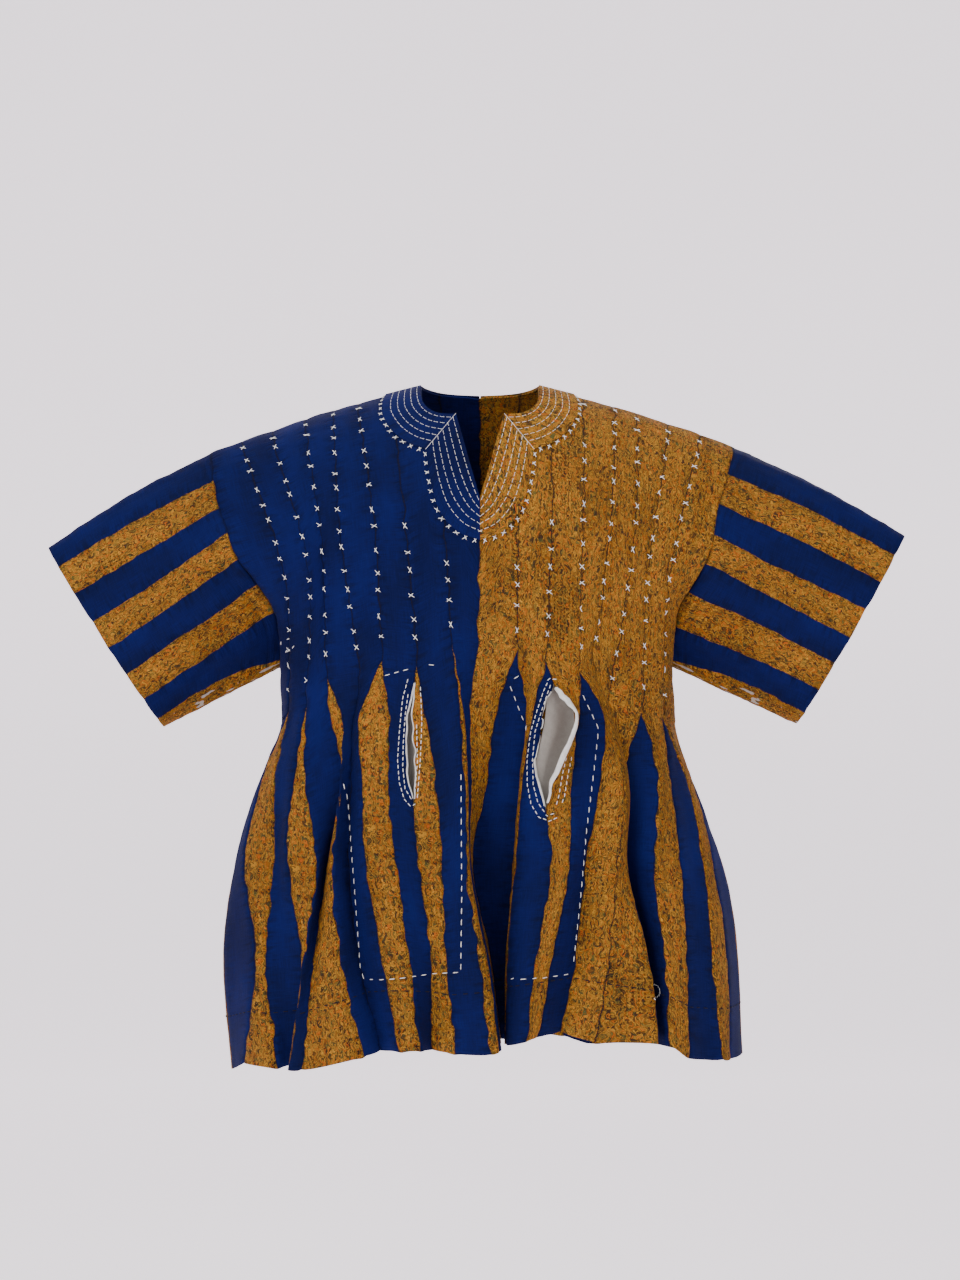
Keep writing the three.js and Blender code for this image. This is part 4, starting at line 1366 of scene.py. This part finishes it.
class SmockSizes(bpy.types.PropertyGroup):
    """Sizes and colours of the smock."""

    cloth_thickness: size_of("Cloth", "Thickness of the strip cloth", 1.5, 1.0, 3.0)
    band_thickness: size_of("Neck band", "Thickness of the neck band", 1.4, 1.0, 3.0)
    bag_thickness: size_of("Pocket cotton", "Thickness of the pocket cotton", 1.2, 0.5, 3.0)
    fold_softness: size_of("Fold softness", "How widely a fold is rounded", 4.2, 1.0, 12.0)
    stitch_radius: size_of("Stitch radius", "Radius of the sewing yarn", 0.5, 0.1, 2.0)
    thread_pitch: bpy.props.FloatProperty(
        name="Thread pitch",
        description="Width of one thread of the weave",
        default=0.0008,
        min=0.0003,
        max=0.003,
        precision=5,
        unit="LENGTH",
    )
    puckers: bpy.props.FloatProperty(
        name="Puckers",
        description="How strongly the cloth puckers along its seams",
        default=7.0,
        min=0.0,
        max=20.0,
    )
    blue: colour_of("Blue", "blue yarn", (0.0008, 0.004, 0.059))
    gold: colour_of("Gold", "gold yarn", (0.31, 0.138, 0.016))
    orange: colour_of("Orange flecks", "orange flecks", (0.4, 0.085, 0.008))
    olive: colour_of("Olive flecks", "olive flecks", (0.09, 0.085, 0.02))
    white: colour_of("White yarn", "white sewing yarn", (0.8, 0.78, 0.74))
    cotton: colour_of("Pocket cotton", "pocket cotton", (0.38, 0.35, 0.31))
    dark_thread: colour_of("Dark thread", "seam thread", (0.006, 0.005, 0.012))


def sizes():
    return bpy.context.scene.smock_sizes


# ---------------------------------------------------------------------------------------------
# Operators, one for each group of pieces.
# ---------------------------------------------------------------------------------------------


class SMOCK_OT_panels(bpy.types.Operator):
    """Sew the fronts and backs, eight strips each"""

    bl_idname = "smock.panels"
    bl_label = "Fronts and backs"

    def execute(self, context):
        props = sizes()
        lay_out_cloth(props.fold_softness)
        for colour in HALF_COLOURS.values():
            strip_cloth(colour, props)
        for face in FACES:
            for half, colour in HALF_COLOURS.items():
                sew_cloth(f"{face}_{half}", colour)
        return {"FINISHED"}


class SMOCK_OT_gores(bpy.types.Operator):
    """Sew the wedges that widen the skirt, in the other half's colour"""

    bl_idname = "smock.gores"
    bl_label = "Gores"

    def execute(self, context):
        for node in [name for name in Workroom.grids if name.startswith("gore")]:
            half, other = ("left", "right") if "left" in node else ("right", "left")
            grid = Workroom.grids[node][0]["points"]
            lines = (grid[-1], grid[:, grid.shape[1] // 2], grid[len(grid) // 2])
            hem, drop, middle = (length_down(line)[-1] * MM for line in lines)
            flat = (round(max(hem, middle), 3), round(drop, 3))
            area = drop * (middle * 4 + hem) / 6
            area = min(max(area, LEAST_FILL * flat[0] * flat[1]), flat[0] * flat[1])
            colour = HALF_COLOURS[other]
            sew_cloth(node, colour)
        return {"FINISHED"}


class SMOCK_OT_sleeves(bpy.types.Operator):
    """Sew the striped sleeves"""

    bl_idname = "smock.sleeves"
    bl_label = "Sleeves"

    def execute(self, context):
        strip_cloth("striped", sizes())
        for half, colour in HALF_COLOURS.items():
            sew_cloth(f"sleeve_{half}", "striped")
        return {"FINISHED"}


class SMOCK_OT_neck_band(bpy.types.Operator):
    """Lay the band round the neck and down the V"""

    bl_idname = "smock.neck_band"
    bl_label = "Neck band"

    def execute(self, context):
        for half, colour in HALF_COLOURS.items():
            net, shares = band_net(half)
            quads = grid_quads(*net.shape[:2], half == "left")
            places = net.reshape(-1, 3)
            normals = vertex_normals(places, quads)
            raised = places + normals * BAND_LIFT
            down = length_down(net[:, net.shape[1] // 2])
            across = np.broadcast_to(shares[None] * BAND_WIDTH, net.shape[:2])
            down = np.broadcast_to(down[:, None], across.shape)
            weave = np.stack([across + BAND_OFFSET, down], axis=-1)
            edge = np.minimum(across, BAND_WIDTH - across)
            maps = at_corners(quads, weave, np.stack([edge + 2, np.zeros_like(edge)], axis=-1))
            node = f"collar_{half}"
            made, Workroom.skins[node] = wall_mesh(
                node + "_cloth", raised, normals, quads, *maps, sizes().band_thickness
            )
            Workroom.bands[half] = raised.reshape(net.shape)
            material = bpy.data.materials[colour + "_weave"]
            finish_cloth(made, node, material)
        return {"FINISHED"}


class SMOCK_OT_pockets(bpy.types.Operator):
    """Hang the white pocket bags behind their slits"""

    bl_idname = "smock.pockets"
    bl_label = "Pocket bags"

    def execute(self, context):
        props = sizes()
        cotton = plain_cloth("pocket_weave", props.cotton, 0.16)
        lining = plain_cloth("lining_weave", props.white, 0.3)
        top, bottom = BAG_ROWS
        rows = [i - TIP_ROW for i, t in enumerate(ROWS) if top <= t <= bottom]
        for half in HALVES:
            gore_e = Workroom.grids[f"gore_front_{half}_e"][0]["points"]
            gore_f = Workroom.grids[f"gore_front_{half}_f"][0]["unslit"]
            lines = [gore_e[:, k] for k in (0, 2, 4, 6, 8)]
            lines += [mix(gore_e[:, 8], gore_f[:, 0], share) for share in (0.2, 0.4, 0.6, 0.8)]
            lines += [gore_f[:, k] for k in ((0, 2, 4, 6, 8) if half == "left" else (0, 2, 4))]
            grid = np.stack([line[rows] for line in lines], axis=1)
            across = np.sin(np.linspace(0, math.pi, len(lines)))[None]
            down = np.sin(np.linspace(0, math.pi, len(rows)))[:, None]
            grid[:, :, 1] += BAG_SEAT + BAG_CLEAR + BAG_HANG * across * (0.25 + 0.75 * down)
            grid[:, :, 1] += 1.4 * across * np.sin(np.linspace(0, 9, len(rows)))[:, None] * down
            wide, long = BAG_CLOTH
            ruler = np.meshgrid(np.linspace(0, wide, len(lines)), np.linspace(0, long, len(rows)))
            node = f"pocket_bag_{half}"
            made = loose_wall(node + "_cloth", grid, half == "right", ruler, props.bag_thickness)
            finish_cloth(made, node, cotton)
            for side in ("outer", "inner"):
                pocket_lip(half, side, lining)
        return {"FINISHED"}


def loose_wall(name, grid, flip, ruler, thickness):
    """A wall round one grid of points that shares no edge with other cloth."""
    quads = grid_quads(*grid.shape[:2], flip)
    places = grid.reshape(-1, 3)
    weave = np.stack(ruler, axis=-1)
    maps = at_corners(quads, weave, np.zeros_like(weave))
    return wall_mesh(name, places, vertex_normals(places, quads), quads, *maps, thickness)[0]


# The lips of the pocket slits: how far each is turned out, and how wide it laps over the edge.
LIP_WIDTHS = {"left outer": 0.2, "left inner": 0.1, "right outer": 6.5, "right inner": 0.1}
LIP_LAPS = {"left": 0.55, "right": 1.1}
LIP_THICKNESS = 0.9


def pocket_lip(half, side, cotton):
    """A strip of white lining that is turned out a little along one edge of a pocket slit."""
    cloth, slit, lap = Workroom.cloth, SLITS[half], LIP_LAPS[half]
    outer = side == "outer"
    name, number = (f"front_{half}", 5) if outer else (f"gore_front_{half}_f", 0)
    patch = [patch for patch in cloth.patches if patch["name"] == name][number]
    first = 0 if outer else TIP_ROW
    net = patch["ids"].reshape(len(ROWS) - first, -1)
    edge, back = (net[:, -1], net[:, -4]) if outer else (net[:, 0], net[:, 3])
    height = cloth.places[edge][:, 2]
    inside = (height > slit["bottomZ"] + 3) & (height < slit["topZ"] - 3) & (ROWS[first:] > 1)
    edge, back, height = edge[inside], back[inside], height[inside]
    place, out = cloth.places[edge], cloth.normals[edge]
    into = place - cloth.places[back]
    into -= out * (into * out).sum(axis=1, keepdims=True)
    into /= np.linalg.norm(into, axis=1, keepdims=True)
    share = np.sin(np.linspace(0, math.pi, len(edge)))[:, None] ** 0.6
    waver = noise_at(place, (9, 9, 12), 21)[:, None]
    turned = near(height - slit["widestZ"], 34)[:, None]
    folded = 1 - 0.7 * near(height - slit["widestZ"] + 6, 6)[:, None]
    width = LIP_WIDTHS[f"{half} {side}"]
    reach = share * (width * turned * folded + 0.3 * lap * (1 + waver))
    profile = [(-lap, 1.1), (0.2, 1.0), (lap, 0.2), (lap + 0.3, -1.0), (lap + 0.3, -2.4)]
    columns = []
    for k, (beyond, above) in enumerate(profile):
        columns.append(place + into * (beyond + (reach if k > 1 else 0)) + out * above)
    grid = np.stack(columns, axis=1)
    blank = np.zeros((2, *grid.shape[:2]))
    flip = outer == (half == "right")
    made = loose_wall(f"pocket_lip_{half}_{side}", grid, flip, blank, LIP_THICKNESS)
    finish_piece(made, cotton)


def body_skins():
    """The skins of the panels and gores."""
    skins = Workroom.skins.items()
    return [skin for name, skin in skins if not name.startswith(("collar", "sleeve"))]


class SMOCK_OT_stitches(bpy.types.Operator):
    """Work the white stitches: neck band, yoke seams, pockets"""

    bl_idname = "smock.stitches"
    bl_label = "White stitches"

    def execute(self, context):
        props = sizes()
        yarn = plain_cloth("white_yarn", props.white, 0.12)
        stitch_band(Thread(props.stitch_radius)).make("neck_stitches", yarn, "white_thread")
        crosses = cross_yokes(Thread(props.stitch_radius * 0.86))
        crosses.make("yoke_stitches", yarn, "white_thread")
        pockets = stitch_pockets(Thread(props.stitch_radius * 0.9))
        pockets.make("pocket_stitches", yarn, "white_thread")
        return {"FINISHED"}


def stitch_band(thread):
    """Five rows along the band, one along its mitre, and crosses round its outer edge."""
    body = body_skins()
    for half, net in Workroom.bands.items():
        skins = [Workroom.skins[f"collar_{half}"]]
        for share in (0.1, 0.27, 0.44, 0.61, 0.78):
            column = share * (net.shape[1] - 1)
            low = int(column)
            line = mix(net[:, low], net[:, low + 1], column - low)
            thread.run(line, *STITCHES["band"], skins, 0.2 + share, sunk=True)
        mitre = len(BAND_BACK) * BAND_STEPS[0] + (MITRE_ROW + 1) * BAND_STEPS[1]
        thread.run(net[mitre], *STITCHES["mitre"], skins, sunk=True)
        outer = net[:, -1] + (net[:, -1] - net[:, -3]) * 0.25
        spacing, length = STITCHES["band cross"]
        for index, (place, ahead) in enumerate(even_steps(outer, spacing)):
            hit, normal = skin_point(body, place)
            thread.cross(hit, ahead, normal, length, 0.25 * math.sin(index * 2.1), 0.3)
    return thread


def cross_yokes(thread):
    """Crosses down the seams of the yokes, clear of the neck band."""
    spacing, length = STITCHES["yoke cross"]
    for panel in [f"{face}_{half}" for face in FACES for half in HALVES]:
        for index, grid in enumerate(Workroom.grids[panel][:-1]):
            yoke = grid["points"][6 : TIP_ROW - 2, -1]
            for step, (place, ahead) in enumerate(even_steps(yoke, spacing + index % 3)):
                shift = 3 * math.sin(step * 2.3 + index * 1.7)
                place = place + ahead / np.linalg.norm(ahead) * shift
                if math.hypot(place[0], (place[2] + 25) * 0.78) >= CROSSES_CLEAR:
                    hit, normal = skin_point([Workroom.skins[panel]], place)
                    lean = 0.3 * math.sin(step * 3.7 + index * 1.9)
                    thread.cross(hit, ahead, normal, length, lean, 0.75)
    return thread


def stitch_pockets(thread):
    """Running stitches round the pockets, and a small loop of yarn low on the right."""
    skins = body_skins()
    for spacing, length, lines in POCKET_LINES:
        for line in lines:
            thread.run_ahead(line, spacing, length, skins)
    for step in range(9):
        angle = math.pi * (0.62 - step / 6.4)
        x, z = 186 + 4.6 * math.cos(angle), -634 + 6.6 * math.sin(angle)
        beyond = (x + math.sin(angle) * 0.9, z - math.cos(angle) * 1.2)
        thread.run_ahead([(x, z), beyond], *STITCHES["loop"], skins)
    return thread


# Running stitches round the pockets: spacing, length, and lines as x and z seen from ahead.
POCKET_LINES = [
    (
        6,
        4.2,
        [
            [(-76, -302), (-82, -324), (-85, -356), (-87, -388)]
            + [(-85, -412), (-80, -429), (-73, -437), (-67, -434)],
            [(-76, -318), (-79, -340), (-81, -370), (-81.5, -396), (-79, -418), (-72, -430)],
            [(-63, -310), (-61.5, -348), (-63, -388), (-66, -429)],
            [(-67, -350), (-66, -390), (-68.5, -424)],
            [(82, -303), (73, -303), (67, -316), (60, -338), (54, -358), (50, -387)]
            + [(50, -414), (54, -435), (62, -448), (73, -452), (82, -448)],
            [(81, -307.5), (75, -308), (71, -319), (64, -340), (58.5, -358), (55.5, -387)]
            + [(56, -414), (61, -433), (70, -446), (79, -444)],
            [(80, -436), (83, -425), (87, -401), (91, -384)],
            [(86, -434), (89, -425), (93, -401), (97, -384)],
        ],
    ),
    (
        11,
        6.2,
        [
            [(-146, -412), (-141, -430), (-132, -530), (-126, -610), (-122, -619), (-20, -608)],
            [(-20, -608), (-19, -530), (-20, -400)],
        ],
    ),
    (
        10,
        5.6,
        [
            [(-103, -300), (-74, -292)],
            [(-60, -287), (-43, -289)],
            [(31, -305), (46, -297)],
            [(31, -308), (51, -360)],
        ],
    ),
    (
        11,
        6.2,
        [
            [(108, -318), (126, -356), (121, -398), (112, -466), (106, -530), (98, -602)],
            [(28, -616), (96, -612)],
        ],
    ),
    (8, 4.8, [[(-229, -272), (-202, -258)]]),
    (7, 4.8, [[(-213, -276), (-197, -267)]]),
]


class SMOCK_OT_hem(bpy.types.Operator):
    """Stitch the hem all round with dark thread"""

    bl_idname = "smock.hem"
    bl_label = "Hem stitches"

    def execute(self, context):
        props = sizes()
        yarn = plain_cloth("dark_yarn", props.dark_thread, 0.3)
        thread = Thread(props.stitch_radius * 1.1)
        row = int(np.argmin(np.abs(ROWS - HEM_STITCH_ROW)))
        for name, grids in Workroom.grids.items():
            for grid in grids:
                line = grid["points"][row - grid["first"]]
                thread.run(line, *STITCHES["hem"], [Workroom.skins[name]])
        thread.make("hem_stitches", yarn, "dark_thread")
        return {"FINISHED"}


class SMOCK_OT_stage(bpy.types.Operator):
    """Set up the floor, the lights and the camera"""

    bl_idname = "smock.stage"
    bl_label = "Stage"

    def execute(self, context):
        make_backdrop()
        make_camera()
        make_lights()
        return {"FINISHED"}


# The backdrop, in metres: how far it reaches, how low it lies and how it curves up behind.
FLOOR_FRONT, FLOOR_BACK, FLOOR_Z = -7.0, 5.5, -1.5
FLOOR_REACH, WALL_TOP, CURVE = 10.0, 8.0, 1.5


def make_backdrop():
    """A pale floor that curves up into a wall."""
    bpy.ops.object.select_all(action="DESELECT")
    angles = [math.pi / 2 * k / 12 for k in range(13)]
    profile = [(FLOOR_BACK + CURVE * math.sin(a), FLOOR_Z + CURVE * (1 - math.cos(a))) for a in angles]
    profile = [(FLOOR_FRONT, FLOOR_Z), *profile, (FLOOR_BACK + CURVE, WALL_TOP)]
    count = len(profile)
    vertices = [(x, y, z) for x in (-FLOOR_REACH, FLOOR_REACH) for y, z in profile]
    faces = [[k, k + count, k + 1 + count, k + 1] for k in range(count - 1)]
    floor = mesh_object("floor", vertices, faces)
    for polygon in floor.data.polygons:
        polygon.use_smooth = True
    material, wire, surface = start_shader("pale_floor")
    place = wire.node("ShaderNodeTexCoord", {}, {}, "Object")
    faint = place.noise((0.6, 0.6, 0.6)).rise(0.3, 0.7)
    inputs = {
        "Base Color": faint.blend(opaque((0.75, 0.71, 0.74)), opaque((0.79, 0.75, 0.78))),
        "Roughness": 0.95,
        "Emission Color": opaque((0.86, 0.78, 0.83)),
        "Emission Strength": 1.35,
    }
    wire.feed(surface, inputs)
    floor.data.materials.append(material)


def make_camera():
    data = bpy.data.cameras.new("camera")
    data.lens = 90
    data.sensor_width = 36
    data.clip_end = 60
    camera = add_object("camera", data)
    camera.location = (0, -3.5, -0.2616)
    camera.rotation_euler = (math.radians(90), 0, 0)
    bpy.context.scene.camera = camera


LIGHTS = table(
    "name x y z size energy",
    [
        ("key_light", -1.9, -2.6, 1.7, 1.5, 96),
        ("fill_light", 2.2, -2.8, 0.7, 2.2, 40),
        ("top_light", 0.0, -0.6, 2.3, 1.8, 44),
        ("back_light", 0.0, 1.9, 1.6, 2.0, 22),
    ],
)


def make_lights():
    for row in LIGHTS:
        data = bpy.data.lights.new(row["name"], "AREA")
        data.size = row["size"]
        data.energy = row["energy"]
        light = add_object(row["name"], data)
        light.location = (row["x"], row["y"], row["z"])
        aim = Vector((0, 0, -0.35)) - light.location
        light.rotation_euler = aim.to_track_quat("-Z", "Y").to_euler()
    world = bpy.data.worlds.new("studio")
    world.use_nodes = True
    background = world.node_tree.nodes["Background"]
    background.inputs[0].default_value = (0.92, 0.93, 1.0, 1.0)
    background.inputs[1].default_value = 0.36
    bpy.context.scene.world = world


class SMOCK_PT_sidebar(bpy.types.Panel):
    """Lists the smock's sizes and the steps that sew it"""

    bl_idname = "SMOCK_PT_sidebar"
    bl_label = "Smock"
    bl_space_type = "VIEW_3D"
    bl_region_type = "UI"
    bl_category = "Smock"

    def draw(self, context):
        props = context.scene.smock_sizes
        for name in SmockSizes.__annotations__:
            self.layout.prop(props, name)
        for step in STEPS:
            self.layout.operator(step.bl_idname)


STEPS = (
    SMOCK_OT_panels,
    SMOCK_OT_gores,
    SMOCK_OT_sleeves,
    SMOCK_OT_neck_band,
    SMOCK_OT_pockets,
    SMOCK_OT_stitches,
    SMOCK_OT_hem,
    SMOCK_OT_stage,
)
CLASSES = (SmockSizes, *STEPS, SMOCK_PT_sidebar)


def register():
    for item in CLASSES:
        bpy.utils.register_class(item)
    bpy.types.Scene.smock_sizes = bpy.props.PointerProperty(type=SmockSizes)


def unregister():
    del bpy.types.Scene.smock_sizes
    for item in reversed(CLASSES):
        bpy.utils.unregister_class(item)


def main():
    register()
    bpy.ops.smock.panels()
    bpy.ops.smock.gores()
    bpy.ops.smock.sleeves()
    bpy.ops.smock.neck_band()
    bpy.ops.smock.pockets()
    bpy.ops.smock.stitches()
    bpy.ops.smock.hem()
    bpy.ops.smock.stage()


if __name__ == "__main__":
    main()
